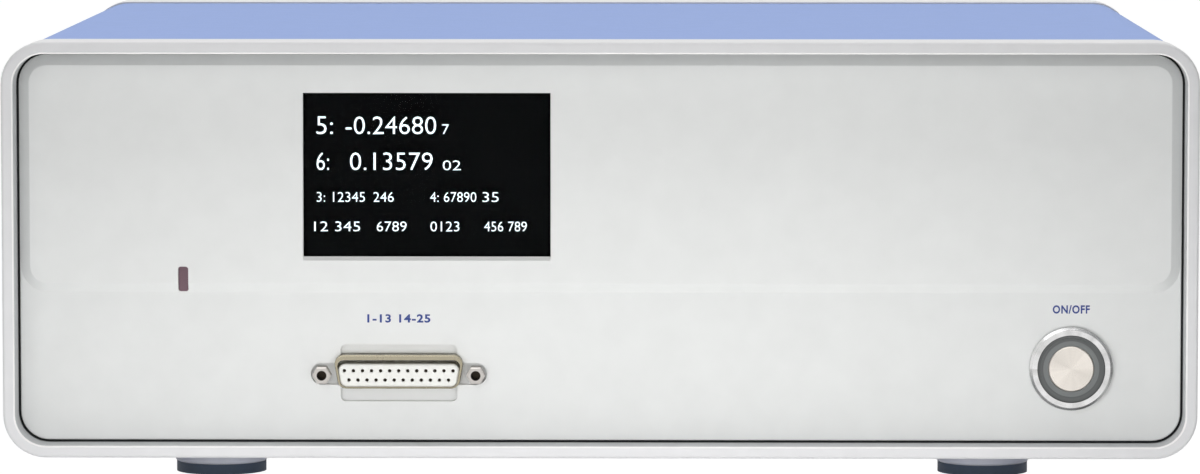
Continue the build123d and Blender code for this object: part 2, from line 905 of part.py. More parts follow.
with BuildPart() as connector_plate:
    with BuildSketch(upright(panel_back)):
        with Locations((cell_x, cell_z)):
            Rectangle(cell_plate_width, cell_plate_height)
        connector_outline(shell_low, shell_high, shell_width, cell_shell_corner, fit_gap, Mode.SUBTRACT)
        with Locations(*jack_spots):
            Circle(cell_screw_shank + hole_clearance, mode=Mode.SUBTRACT)
        with Locations(*cell_studs):
            Circle(m3_radius + hole_clearance, mode=Mode.SUBTRACT)
    extrude(amount=-cell_plate_thickness)
finish(connector_plate.part, "connector_plate")

with BuildPart() as connector_shell:
    with BuildSketch(upright(flange_back)):
        with Locations((cell_x, cell_z)):
            RectangleRounded(cell_flange_width, cell_flange_height, cell_flange_corner)
        with Locations(*jack_spots):
            Circle(cell_screw_shank + hole_clearance, mode=Mode.SUBTRACT)
    extrude(amount=cell_flange_thickness)
    with BuildSketch(upright(plate_back)):
        connector_outline(shell_low, shell_high, shell_width, cell_shell_corner)
    extrude(amount=plate_back - shell_front)
    fillet(connector_shell.faces().sort_by(Axis.Y)[0].outer_wire().edges(), cell_shell_round)
    with BuildSketch(upright(flange_back)):
        connector_outline(mouth_low, mouth_high, mouth_width, cell_face_corner)
    extrude(amount=flange_back - shell_front, mode=Mode.SUBTRACT)
    with BuildSketch(upright(flange_back)):
        with Locations(*jack_spots):
            RegularPolygon(cell_screw_flats / 2, 6, major_radius=False)
            Circle(cell_screw_shank + hole_clearance, mode=Mode.SUBTRACT)
    extrude(amount=-cell_nut_height)
finish(connector_shell.part, "connector_shell")

with BuildPart() as connector_insulator:
    with BuildSketch(upright(flange_back)):
        connector_outline(face_low, face_high, cell_face_width, cell_face_corner)
    extrude(amount=flange_back - shell_front - cell_face_setback)
    chamfer(connector_insulator.faces().sort_by(Axis.Y)[0].edges(), cell_face_chamfer)
    with BuildSketch(upright(flange_back)):
        with Locations((cell_x, cell_z)):
            Rectangle(cell_rear_width, cell_rear_height)
    extrude(amount=-cell_rear_length)
    with BuildSketch(upright(shell_front)):
        with Locations(*contact_spots):
            Circle(cell_hole_radius)
    extrude(amount=-(cell_board_front - shell_front), mode=Mode.SUBTRACT)
finish(connector_insulator.part, "connector_insulator")

with BuildPart() as connector_contacts:
    contact_front = shell_front + cell_face_setback + cell_contact_setback
    with BuildSketch(upright(contact_front)):
        with Locations(*contact_spots):
            Circle(cell_contact_radius)
    extrude(amount=-(cell_board_front + board_thickness + cell_contact_tail - contact_front))
finish(connector_contacts.part, "connector_contacts")

with BuildPart() as connector_jackscrews:
    with BuildSketch(upright(panel_back)):
        with Locations(*jack_spots):
            RegularPolygon(cell_screw_flats / 2, 6, major_radius=False)
    extrude(amount=cell_screw_length)
    chamfer(connector_jackscrews.faces().group_by(Axis.Y)[0].edges(), cell_screw_chamfer)
    with BuildSketch(upright(panel_back)):
        with Locations(*jack_spots):
            Circle(cell_screw_shank)
    extrude(amount=-cell_screw_tail)
    with BuildSketch(upright(panel_back - cell_screw_length)):
        with Locations(*jack_spots):
            Circle(cell_screw_bore)
    extrude(amount=-cell_screw_bore_depth, mode=Mode.SUBTRACT)
finish(connector_jackscrews.part, "connector_jackscrews")

with BuildPart() as connector_board:
    with BuildSketch(upright(cell_board_front)):
        with Locations((cell_x, cell_z)):
            Rectangle(cell_board_width, cell_board_height)
        with Locations(*contact_spots):
            Circle(cell_hole_radius, mode=Mode.SUBTRACT)
    extrude(amount=-board_thickness)
finish(connector_board.part, "connector_board")

# Power button: a steel body with its ring, a fixed light ring, and a cap that presses in.
ring_back = panel_face - button_gasket_height
ring_front = ring_back - button_ring_height
bore_step = ring_front + button_front_bore_depth
light_ring_front = ring_front + light_ring_setback
cap_front = ring_front + button_cap_setback
cap_flange_front = bore_step + button_cap_play
cap_flange_back = cap_flange_front + button_cap_flange_height
block_front = cap_flange_back + button_boss_length + button_travel + button_stop_gap
barrel_back = block_front + button_block_plug
block_back = barrel_back + button_block_base


def button_disc(y, radius, hole=0.0):
    """A round profile on the button's axis at depth y."""
    with BuildSketch(upright(y)) as disc:
        with Locations((button_x, button_z)):
            Circle(radius)
            if hole:
                Circle(hole, mode=Mode.SUBTRACT)
    return disc.sketch


with BuildPart() as button_gasket:
    gasket_bore = button_barrel_radius + fit_gap
    gasket_ring = button_disc(panel_face, gasket_bore + button_gasket_width, gasket_bore)
    extrude(gasket_ring, amount=button_gasket_height)
finish(button_gasket.part, "button_gasket")

with BuildPart() as button_body:
    extrude(button_disc(ring_back, button_ring_radius), amount=button_ring_height)
    chamfer(button_body.faces().sort_by(Axis.Y)[0].edges(), button_ring_chamfer)
    extrude(button_disc(ring_back, button_barrel_radius), amount=-(barrel_back - ring_back))
    extrude(button_disc(ring_front, button_front_bore), amount=-button_front_bore_depth, mode=Mode.SUBTRACT)
    extrude(button_disc(bore_step, button_rear_bore), amount=-(barrel_back - bore_step), mode=Mode.SUBTRACT)
finish(button_body.part, "button_body")

with BuildPart() as button_light_ring:
    whole_ring = button_disc(bore_step, button_front_bore - fit_gap / 2, button_cap_radius + button_cap_gap)
    extrude(whole_ring, amount=bore_step - light_ring_front)
    outer_step = button_disc(light_ring_front, button_front_bore, button_front_bore - light_ring_step_width)
    extrude(outer_step, amount=-light_ring_step, mode=Mode.SUBTRACT)
finish(button_light_ring.part, "button_light_ring")

with BuildPart() as button_cap:
    extrude(button_disc(cap_flange_back, button_cap_radius), amount=cap_flange_back - cap_front)
    chamfer(button_cap.faces().sort_by(Axis.Y)[0].edges(), button_cap_chamfer)
    extrude(button_disc(cap_flange_back, button_cap_flange), amount=button_cap_flange_height)
    extrude(button_disc(cap_flange_back, button_boss_radius), amount=-button_boss_length)
finish(button_cap.part, "button_cap")

spring_length = block_front - cap_flange_back - 2 * button_spring_wire
with BuildPart() as button_spring:
    with BuildLine() as coil:
        Helix(
            spring_length / button_spring_turns,
            spring_length,
            button_spring_radius,
            center=(button_x, cap_flange_back + button_spring_wire, button_z),
            direction=(0, 1, 0),
        )
    with BuildSketch(Plane(origin=coil.line @ 0, z_dir=coil.line % 0)):
        Circle(button_spring_wire)
    sweep(is_frenet=True)
finish(button_spring.part, "button_spring")

with BuildPart() as button_nut:
    with BuildSketch(upright(panel_back)):
        with Locations((button_x, button_z)):
            RegularPolygon(button_nut_flats / 2, 6, major_radius=False)
            Circle(button_barrel_radius + thread_clearance, mode=Mode.SUBTRACT)
    extrude(amount=-button_nut_height)
finish(button_nut.part, "button_nut")

with BuildPart() as switch_block:
    extrude(button_disc(block_front, button_rear_bore - fit_gap / 2), amount=-button_block_plug)
    extrude(button_disc(barrel_back, button_block_radius), amount=-button_block_base)
    well = button_disc(block_front, button_boss_radius + button_boss_gap)
    extrude(well, amount=-button_well_depth, mode=Mode.SUBTRACT)
    with BuildSketch(upright(block_back)):
        with Locations((button_x, button_z)):
            with GridLocations(button_terminal_pitch, button_terminal_pitch, 2, 2):
                Rectangle(button_terminal_width, button_terminal_thickness)
    extrude(amount=-button_terminal_length)
finish(switch_block.part, "switch_block")

# Rear panel with its openings.
inlet_screws = [(inlet_x + sx * inlet_screw_reach, inlet_z) for sx in (-1, 1)]
fan_holes = [
    (fan_x + sx * fan_hole_pitch / 2, fan_z + sz * fan_hole_pitch / 2) for sx in (-1, 1) for sz in (-1, 1)
]
data_z = board_top + data_height / 2

with BuildPart() as rear_panel:
    with BuildSketch(upright(rear_inside)):
        case_outline(panel_inset)
        with Locations(*stud_spots, *inlet_screws):
            Circle(m3_radius + hole_clearance, mode=Mode.SUBTRACT)
        with Locations((inlet_x, inlet_z)):
            Rectangle(inlet_body_width + 2 * fit_gap, inlet_body_height + 2 * fit_gap, mode=Mode.SUBTRACT)
        with Locations((earth_x, earth_z)):
            Circle(earth_radius + hole_clearance, mode=Mode.SUBTRACT)
        with Locations((data_x, data_z)):
            Rectangle(data_width + 2 * fit_gap, data_height + 2 * fit_gap, mode=Mode.SUBTRACT)
        with Locations((fan_x, fan_z)):
            Circle(fan_bore, mode=Mode.SUBTRACT)
        with Locations(*fan_holes):
            Circle(m4_radius + hole_clearance, mode=Mode.SUBTRACT)
    extrude(amount=-panel_thickness)
finish(rear_panel.part, "rear_panel")

rear_seat = Plane(origin=(0, rear_face, 0), x_dir=(1, 0, 0), z_dir=(0, 1, 0))
panel_screws = pan_screws(
    rear_seat,
    [(x, -z) for x, z in stud_spots],
    m3_radius,
    m3_head_radius,
    m3_head_height,
    panel_thickness + ledge_thickness,
)

inlet_seat = Plane(origin=(0, rear_face + inlet_flange_thickness, 0), x_dir=(1, 0, 0), z_dir=(0, 1, 0))
flange_screws = pan_screws(
    inlet_seat,
    [(x, -z) for x, z in inlet_screws],
    m3_radius,
    m3_head_radius,
    m3_head_height,
    inlet_flange_thickness + panel_thickness + inlet_screw_spare,
)
with BuildPart() as rear_screws:
    add(panel_screws)
    add(flange_screws)
finish(rear_screws.part, "rear_screws")

# Mains inlet with its pins, and a fuse drawer above the mouth.
mouth_z = inlet_z - inlet_mouth_drop
drawer_z = inlet_z + drawer_rise
inlet_front = rear_face + inlet_flange_thickness
mouth_floor = inlet_front - inlet_mouth_depth
inlet_back = rear_face - inlet_body_depth
pin_spots = [
    (inlet_x - pin_pitch, mouth_z - pin_stagger),
    (inlet_x, mouth_z + pin_stagger),
    (inlet_x + pin_pitch, mouth_z - pin_stagger),
]

with BuildPart() as mains_inlet:
    with BuildSketch(upright(rear_face)):
        with Locations((inlet_x, inlet_z)):
            RectangleRounded(inlet_flange_width, inlet_flange_height, inlet_flange_corner)
        with Locations(*inlet_screws):
            Circle(m3_radius + hole_clearance, mode=Mode.SUBTRACT)
    extrude(amount=-inlet_flange_thickness)
    with BuildSketch(upright(rear_face)):
        with Locations((inlet_x, inlet_z)):
            Rectangle(inlet_body_width, inlet_body_height)
    extrude(amount=inlet_body_depth)
    with BuildSketch(upright(inlet_front)) as mouth:
        with Locations((inlet_x, mouth_z)):
            Rectangle(inlet_mouth_width, inlet_mouth_height)
        chamfer(mouth.vertices().group_by(Axis.Z)[0], inlet_mouth_corner)
    extrude(amount=inlet_mouth_depth, mode=Mode.SUBTRACT)
    with BuildSketch(upright(inlet_front)):
        with Locations((inlet_x, drawer_z)):
            Rectangle(drawer_width + 2 * drawer_gap, drawer_height + 2 * drawer_gap)
    extrude(amount=drawer_depth + 2 * drawer_gap, mode=Mode.SUBTRACT)
    with BuildSketch(upright(inlet_back)):
        with Locations(*pin_spots):
            Rectangle(pin_width + fit_gap, pin_height + fit_gap)
    extrude(amount=-(mouth_floor - inlet_back), mode=Mode.SUBTRACT)
finish(mains_inlet.part, "mains_inlet")

with BuildPart() as inlet_pins:
    with BuildSketch(upright(inlet_front - pin_setback)):
        with Locations(*pin_spots):
            Rectangle(pin_width, pin_height)
    extrude(amount=inlet_front - pin_setback - inlet_back + pin_tail)
finish(inlet_pins.part, "inlet_pins")

fuse_back = inlet_front - fuse_pocket_end - fit_gap
fuse_z = drawer_z + drawer_height / 2 - fuse_radius - fit_gap - fuse_pocket_wall

with BuildPart() as fuse_drawer:
    with BuildSketch(upright(inlet_front)):
        with Locations((inlet_x, drawer_z)):
            Rectangle(drawer_width, drawer_height)
    extrude(amount=drawer_depth)
    with BuildSketch(upright(inlet_front + drawer_gap)):
        with Locations((inlet_x, drawer_z)):
            RectangleRounded(
                drawer_width + 2 * drawer_lip_overhang, drawer_height + 2 * drawer_lip_overhang, drawer_corner
            )
    extrude(amount=-drawer_lip)
    with BuildSketch(upright(inlet_front)):
        with Locations((inlet_x, drawer_z)):
            Rectangle(drawer_width, drawer_height)
    extrude(amount=-drawer_gap)
    with BuildSketch(upright(inlet_front - fuse_pocket_end)):
        with Locations((inlet_x, fuse_z)):
            Rectangle(2 * (fuse_radius + fit_gap), 2 * (fuse_radius + fit_gap))
            Rectangle(2 * (fuse_radius + fit_gap), drawer_height, align=(Align.CENTER, Align.MIN))
    extrude(amount=fuse_length + 2 * fit_gap, mode=Mode.SUBTRACT)
finish(fuse_drawer.part, "fuse_drawer")

with BuildPart() as fuse:
    with BuildSketch(upright(fuse_back)):
        with Locations((inlet_x, fuse_z)):
            Circle(fuse_tube_radius)
    extrude(amount=fuse_length)
    for end_y in (fuse_back, fuse_back - fuse_length + fuse_cap_length):
        with BuildSketch(upright(end_y)):
            with Locations((inlet_x, fuse_z)):
                Circle(fuse_radius)
        extrude(amount=fuse_cap_length)
finish(fuse.part, "fuse")

# Earth stud, held by one nut on each side of the panel. Its thread is drawn at its pitch diameter where
# the nuts hold it, and at its outer diameter where it is free.
earth_free_start = rear_face + earth_nut_height + earth_thread_gap
earth_end = rear_face + earth_nut_height + earth_free_length
earth_inner_start = rear_inside - earth_nut_height - earth_thread_gap
earth_inner_end = rear_inside - earth_nut_height - earth_inner_spare
with BuildPart() as earth_stud:
    for start_y, end_y, radius in (
        (earth_end, earth_free_start, earth_radius),
        (earth_free_start, earth_inner_start, earth_pitch_radius),
        (earth_inner_start, earth_inner_end, earth_radius),
    ):
        with BuildSketch(upright(start_y)):
            with Locations((earth_x, earth_z)):
                Circle(radius)
        extrude(amount=start_y - end_y)
    chamfer(earth_stud.faces().sort_by(Axis.Y)[-1].edges(), earth_chamfer)
finish(earth_stud.part, "earth_stud")

with BuildPart() as earth_nuts:
    for seat_y, direction in ((rear_face, -1), (rear_inside, 1)):
        with BuildSketch(upright(seat_y)):
            with Locations((earth_x, earth_z)):
                RegularPolygon(earth_nut_flats / 2, 6, major_radius=False)
                Circle(earth_pitch_radius + thread_clearance, mode=Mode.SUBTRACT)
        extrude(amount=direction * earth_nut_height)
finish(earth_nuts.part, "earth_nuts")

# Data socket on the main board's rear edge.
data_front = rear_face + data_proud
with BuildPart() as data_socket:
    with BuildSketch(upright(data_front)) as socket_face:
        with Locations((data_x, data_z)):
            Rectangle(data_width, data_height)
    extrude(amount=data_length)
    with BuildSketch(upright(data_front)) as socket_mouth:
        with Locations((data_x, data_z)):
            Rectangle(data_width - 2 * data_wall, data_height - 2 * data_wall)
        chamfer(socket_mouth.vertices().group_by(Axis.Z)[-1], data_mouth_chamfer)
    extrude(amount=data_mouth_depth, mode=Mode.SUBTRACT)
    with BuildSketch(upright(data_front - data_tongue_setback)):
        with Locations((data_x, data_z)):
            Rectangle(data_tongue_width, data_tongue_height)
    extrude(amount=data_mouth_depth - data_tongue_setback)
finish(data_socket.part, "data_socket")

# Fan: a square frame with a motor base, a rotor that spins on its shaft, and a wire guard outside.
hub_front = fan_front + fan_base_thickness + fan_hub_gap

with BuildPart() as fan_frame:
    with BuildSketch(upright(fan_back)):
        with Locations((fan_x, fan_z)):
            RectangleRounded(fan_size, fan_size, fan_corner)
            Circle(fan_bore, mode=Mode.SUBTRACT)
        with Locations(*fan_holes):
            Circle(m4_radius + thread_clearance, mode=Mode.SUBTRACT)
    extrude(amount=fan_depth)
    with BuildSketch(upright(fan_front)):
        with Locations((fan_x, fan_z)):
            Circle(fan_base_radius)
            for angle in (45, 135):
                Rectangle(2 * (fan_bore + fan_strut_overlap), fan_strut_width, rotation=angle)
            Circle(fan_shaft_radius + fan_shaft_clearance, mode=Mode.SUBTRACT)
    extrude(amount=-fan_base_thickness)
finish(fan_frame.part, "fan_frame")

with BuildPart() as fan_rotor:
    with BuildSketch(upright(hub_front)):
        with Locations((fan_x, fan_z)):
            Circle(fan_hub_radius)
    extrude(amount=-fan_hub_depth)
    blade_y = hub_front + fan_hub_depth / 2
    blade_root = fan_hub_radius - fan_blade_sink
    for i in range(fan_blade_count):
        turn = 360.0 * i / fan_blade_count
        radial = Vector(cos(radians(turn)), 0, sin(radians(turn)))
        tangent = Vector(-sin(radians(turn)), 0, cos(radians(turn)))
        chordwise = tangent * cos(radians(fan_blade_angle)) + Vector(0, 1, 0) * sin(radians(fan_blade_angle))
        middle = Vector(fan_x, blade_y, fan_z) + radial * ((blade_root + fan_blade_reach) / 2)
        with BuildSketch(Plane(origin=middle, x_dir=radial, z_dir=radial.cross(chordwise))):
            Rectangle(fan_blade_reach - blade_root, fan_blade_chord)
        extrude(amount=fan_blade_thickness / 2, both=True)
    with BuildSketch(upright(hub_front)):
        with Locations((fan_x, fan_z)):
            Circle(fan_hub_radius - fan_hub_wall)
    extrude(amount=-(fan_hub_depth - fan_hub_wall), mode=Mode.SUBTRACT)
    with BuildSketch(upright(hub_front + fan_hub_depth)):
        with Locations((fan_x, fan_z)):
            Circle(fan_shaft_radius)
    extrude(amount=hub_front + fan_hub_depth - fan_front)
finish(fan_rotor.part, "fan_rotor")

eye_face = rear_face + guard_eye_thickness
bar_y = rear_face + guard_eye_thickness / 2 + guard_wire / 2
ring_y = bar_y + 2 * guard_wire - guard_ring_overlap
with BuildPart() as fan_guard:
    with BuildSketch(upright(rear_face)):
        with Locations(*fan_holes):
            Circle(guard_eye_radius)
    extrude(amount=-guard_eye_thickness)
    for turn in (45, 135):
        direction = Vector(cos(radians(turn)), 0, sin(radians(turn)))
        reach = fan_hole_pitch / 2 * 2**0.5 - m4_head_radius - guard_bar_gap
        with BuildSketch(Plane(origin=Vector(fan_x, bar_y, fan_z) - direction * reach, z_dir=direction)):
            Circle(guard_wire)
        extrude(amount=2 * reach)
    for i in range(guard_ring_count):
        with Locations(Plane(origin=(fan_x, ring_y, fan_z), z_dir=(0, 1, 0))):
            Torus(guard_outer_ring - i * guard_ring_step, guard_wire)
    with BuildSketch(upright(rear_face)):
        with Locations(*fan_holes):
            Circle(m4_radius + hole_clearance)
    extrude(amount=-guard_eye_thickness, mode=Mode.SUBTRACT)
finish(fan_guard.part, "fan_guard")

fan_seat = Plane(origin=(0, eye_face, 0), x_dir=(1, 0, 0), z_dir=(0, 1, 0))
fan_screws = pan_screws(
    fan_seat,
    [(x, -z) for x, z in fan_holes],
    m4_radius,
    m4_head_radius,
    m4_head_height,
    guard_eye_thickness + panel_thickness + fan_depth / 2,
)
finish(fan_screws, "fan_screws")

# Main board on its pillars, with what stands on it.
with BuildPart() as main_board:
    with BuildSketch(Plane.XY.offset(board_top - board_thickness)):
        with Locations((main_board_x, main_board_y)):
            Rectangle(main_board_width, main_board_depth)
        with Locations(*pillar_spots):
            Circle(m3_radius + hole_clearance, mode=Mode.SUBTRACT)
    extrude(amount=board_thickness)
finish(main_board.part, "main_board")

with BuildPart() as board_pillars:
    with BuildSketch(Plane.XY.offset(floor_z)):
        with Locations(*pillar_spots):
            Circle(pillar_radius)
            Circle(m3_radius + thread_clearance, mode=Mode.SUBTRACT)
    extrude(amount=pillar_height)
finish(board_pillars.part, "board_pillars")

board_screws = pan_screws(
    Plane.XY.offset(board_top),
    pillar_spots,
    m3_radius,
    m3_head_radius,
    m3_head_height,
    board_thickness + pillar_height + cover_thickness - floor_screw_setback,
)
finish(board_screws, "board_screws")

with BuildPart() as heat_sink:
    with BuildSketch(upright(sink_y - sink_length / 2)):
        with Locations((sink_x, board_top)):
            Rectangle(sink_base, sink_height, align=(Align.CENTER, Align.MIN))
        fin_step = (sink_height - sink_fin_thickness) / (sink_fin_count - 1)
        for i in range(sink_fin_count):
            with Locations((sink_x, board_top + i * fin_step)):
                Rectangle(sink_fin_end - sink_x, sink_fin_thickness, align=(Align.MIN, Align.MIN))
    extrude(amount=-sink_length)
finish(heat_sink.part, "heat_sink")

with BuildPart() as power_transistors:
    face_x = sink_x - sink_base / 2
    transistor_spots = [
        (sink_y + (i - (transistor_count - 1) / 2) * transistor_pitch, board_top + transistor_leg_length)
        for i in range(transistor_count)
    ]
    with BuildSketch(Plane.YZ.offset(face_x)):
        with Locations(*transistor_spots):
            Rectangle(transistor_width, transistor_height, align=(Align.CENTER, Align.MIN))
    extrude(amount=-transistor_thickness)
    with BuildSketch(Plane.YZ.offset(face_x - transistor_thickness / 2)):
        for y, z in transistor_spots:
            with Locations((y, z)):
                with GridLocations(transistor_leg_pitch, 0, transistor_leg_count, 1):
                    Rectangle(transistor_leg_width, transistor_leg_length, align=(Align.CENTER, Align.MAX))
    extrude(amount=-transistor_leg_thickness)
finish(power_transistors.part, "power_transistors")

with BuildPart() as relays:
    with BuildSketch(Plane.XY.offset(board_top)):
        with Locations((relay_x, relay_y)):
            with GridLocations(relay_pitch, 0, relay_count, 1):
                Rectangle(relay_width, relay_length)
    extrude(amount=relay_height)
    chamfer(relays.faces().group_by(Axis.Z)[-1].edges(), relay_chamfer)
finish(relays.part, "relays")

with BuildPart() as capacitors:
    with BuildSketch(Plane.XY.offset(board_top)):
        with Locations((capacitor_x, capacitor_y)):
            with GridLocations(capacitor_pitch, capacitor_pitch, 2, 2):
                Circle(capacitor_radius)
    extrude(amount=capacitor_height)
    fillet(capacitors.faces().group_by(Axis.Z)[-1].edges(), capacitor_round)
finish(capacitors.part, "capacitors")

with BuildPart() as shield_can:
    with BuildSketch(Plane.XY.offset(board_top)):
        with Locations((can_x, can_y)):
            RectangleRounded(can_length, can_width, can_corner)
    extrude(amount=can_height)
    offset(amount=-can_wall, openings=shield_can.faces().sort_by(Axis.Z)[0])
finish(shield_can.part, "shield_can")

# Ring transformer, clamped to the bottom cover by a washer and a bolt.
with BuildPart() as transformer:
    ring_width = transformer_radius - transformer_bore
    with BuildSketch(Plane.XZ.offset(-transformer_y)):
        with Locations((transformer_x + transformer_bore + ring_width / 2, floor_z + transformer_height / 2)):
            RectangleRounded(ring_width, transformer_height, transformer_round)
    revolve(axis=Axis((transformer_x, transformer_y, 0), (0, 0, 1)))
finish(transformer.part, "transformer")

washer_z = floor_z + transformer_height
with BuildPart() as transformer_washer:
    with BuildSketch(Plane.XY.offset(washer_z)):
        with Locations((transformer_x, transformer_y)):
            Circle(washer_radius)
            Circle(bolt_radius + hole_clearance, mode=Mode.SUBTRACT)
    extrude(amount=washer_thickness)
finish(transformer_washer.part, "transformer_washer")

transformer_bolt = pan_screws(
    Plane.XY.offset(washer_z + washer_thickness),
    [(transformer_x, transformer_y)],
    bolt_radius,
    bolt_head_radius,
    bolt_head_height,
    washer_thickness + transformer_height + cover_thickness - floor_screw_setback,
)
finish(transformer_bolt, "transformer_bolt")


# Ribbon cables from the screen board and the connector board down to the main board.
def ribbon(x, width, start_y, start_z, end_y):
    """A flat cable that leaves a board backwards, then drops onto the main board."""
    with BuildPart() as strip:
        with BuildSketch(Plane.YZ.offset(x - width / 2)):
            with BuildLine():
                FilletPolyline((start_y, start_z), (end_y, start_z), (end_y, board_top), radius=ribbon_bend)
            trace(line_width=ribbon_thickness)
        extrude(amount=width)
    return strip.part


cell_ribbon_start = cell_board_front + board_thickness + cell_contact_tail + ribbon_gap
cell_ribbon = ribbon(cell_x, cell_ribbon_width, cell_ribbon_start, cell_z, cell_ribbon_drop_y)
finish(cell_ribbon, "cell_ribbon")
screen_ribbon_start = panel_back + module_thickness + board_thickness
screen_ribbon = ribbon(
    screen_ribbon_x, screen_ribbon_width, screen_ribbon_start, screen_ribbon_z, screen_ribbon_drop_y
)
finish(screen_ribbon, "screen_ribbon")

# The mains lead runs from the inlet along the right side to the button.
lead_points = [
    (button_x, block_back + button_terminal_length + lead_gap, button_z),
    (button_x, block_back + button_terminal_length + lead_front_run, button_z),
    (lead_side_x, block_back + button_terminal_length + lead_front_drop, floor_z + lead_floor_rise),
    (lead_side_x, transformer_y + lead_transformer_reach, floor_z + lead_floor_rise),
    (inlet_x, inlet_back - pin_tail - lead_rear_run, mouth_z),
    (inlet_x, inlet_back - pin_tail - lead_gap, mouth_z),
]
with BuildPart() as mains_lead:
    with BuildLine() as route:
        FilletPolyline(*lead_points, radius=lead_bend)
    with BuildSketch(Plane(origin=route.line @ 0, z_dir=route.line % 0)):
        Circle(lead_radius)
    sweep()
finish(mains_lead.part, "mains_lead")
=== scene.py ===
"""The looks of a benchtop potentiostat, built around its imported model.

Each operator dresses one piece or one group of like pieces. Lengths are in metres."""

import math

import bpy
from bpy.props import FloatProperty, FloatVectorProperty, PointerProperty, StringProperty
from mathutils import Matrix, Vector


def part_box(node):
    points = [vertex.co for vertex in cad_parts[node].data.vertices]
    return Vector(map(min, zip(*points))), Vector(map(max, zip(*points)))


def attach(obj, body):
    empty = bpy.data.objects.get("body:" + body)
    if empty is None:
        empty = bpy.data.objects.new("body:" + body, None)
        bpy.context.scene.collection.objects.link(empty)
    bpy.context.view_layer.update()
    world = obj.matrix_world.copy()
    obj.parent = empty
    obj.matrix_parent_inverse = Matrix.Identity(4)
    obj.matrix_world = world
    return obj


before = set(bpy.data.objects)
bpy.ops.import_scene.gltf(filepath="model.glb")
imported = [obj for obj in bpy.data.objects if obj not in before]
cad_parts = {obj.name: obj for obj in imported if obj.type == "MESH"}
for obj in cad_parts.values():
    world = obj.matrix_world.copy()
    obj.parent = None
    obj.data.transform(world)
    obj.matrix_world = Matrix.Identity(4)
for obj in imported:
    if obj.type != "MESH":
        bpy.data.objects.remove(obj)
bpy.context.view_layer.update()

bl_info = {
    "name": "Benchtop Potentiostat",
    "version": (1, 0, 0),
    "blender": (4, 5, 0),
    "location": "View3D > Sidebar > Potentiostat",
    "description": "Dresses a benchtop potentiostat with its finishes, print and stage",
    "category": "Object",
}


def box_of(node):
    """The lowest and highest corner of a CAD node."""
    low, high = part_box(node)
    return Vector(low), Vector(high)


def middle_of(node):
    """The middle of a CAD node's box."""
    low, high = box_of(node)
    return (low + high) / 2


def place(name, text, value):
    """A point in space, in metres."""
    return FloatVectorProperty(name=name, description=text, default=value, size=3, subtype="TRANSLATION")


def number(name, text, value, least=0.0):
    """A plain number with a least value."""
    return FloatProperty(name=name, description=text, default=value, min=least)


def colour(name, text, value):
    """A colour property in linear values."""
    return FloatVectorProperty(
        name=name, description=text, default=value, size=3, subtype="COLOR", min=0, max=1
    )


def length(name, text, value):
    """A length property in metres."""
    return FloatProperty(name=name, description=text, default=value, unit="LENGTH", precision=5)


def share(name, text, value):
    """A property from 0 to 1."""
    return FloatProperty(name=name, description=text, default=value, min=0, max=1, subtype="FACTOR")


class CaseFinish(bpy.types.PropertyGroup):
    """Paint on the cast frames, the panels and the covers."""

    frame_colour: colour("Frame paint", "Pale grey paint on the two cast frames", (0.79, 0.79, 0.80))
    frame_corner: length("Frame corner", "Radius of the frames' outer corners", 0.013)
    # These six set painted light in the frames' recess, not finishes: a painted highlight along the bevel,
    # painted shade on the walls, and a near-black painted shadow behind the panels' faces.
    inner_side: length("Inner side", "How far in from the outline the recess's own finish starts", 0.0032)
    painted_highlight_width: length("Bright edge", "Width of the bright bevel round the recess", 0.0006)
    recess_depth: length("Recess depth", "Depth of the recess, short of the panel's face", 0.0114)
    painted_highlight_colour: colour("Edge", "The bright bevel round the recess", (0.97, 0.96, 0.95))
    painted_shade_colour: colour("Recess", "The recess's walls, in a thinner coat", (0.55, 0.56, 0.57))
    painted_shadow_colour: colour("Inside", "Bare dark metal behind the panels' faces", (0.02, 0.022, 0.024))
    panel_colour: colour("Panel paint", "Pale grey paint on the front panel", (0.80, 0.81, 0.80))
    cover_colour: colour("Cover paint", "Blue paint on the top and bottom covers", (0.300, 0.415, 0.760))
    cover_gloss: share("Cover gloss", "How much the covers reflect", 0.15)
    rear_colour: colour("Rear panel", "Finish of the rear panel", (0.66, 0.67, 0.68))
    roughness: share("Roughness", "Roughness of the paint", 0.42)
    grain: length("Grain", "Width of the paint's fine grain", 0.0006)
    grain_depth: length("Grain depth", "Depth of the paint's fine grain", 0.000006)
    ripple: length("Ripple", "Width of the slow ripple under the paint", 0.009)
    ripple_depth: length("Ripple depth", "Depth of the slow ripple", 0.000008)
    mottle: share("Mottle", "How much the paint's shade drifts", 0.035)


class ScreenFinish(bpy.types.PropertyGroup):
    """The screen's glass and its lit readings."""

    glass_colour: colour("Glass", "Tint of the screen's window", (0.90, 0.92, 0.92))
    glass_index: number("Index", "Refractive index of the coated glass", 1.05, least=1)
    reflection: share("Reflection", "How much the coated glass still reflects", 0.02)
    black_colour: colour("Black", "The unlit display behind the window", (0.0015, 0.0018, 0.0022))
    digit_colour: colour("Digits", "The lit digits", (0.86, 0.95, 1.0))
    digit_light: number("Digit light", "Strength of the lit digits", 0.95)
    digit_glow: length("Digit glow", "Width of the faint unevenness of the lit digits", 0.0005)
    glass_edge: length("Glass edge", "Rebate of the window behind the panel's edge", 0.002)
    digit_height: length("Digit height", "Height of the large digits", 0.0054)
    digit_weight: number("Digit weight", "Added to the strokes' width", -0.010, least=-1)
    digit_thickness: length("Digit thickness", "Thickness of the lit layer", 0.00003)


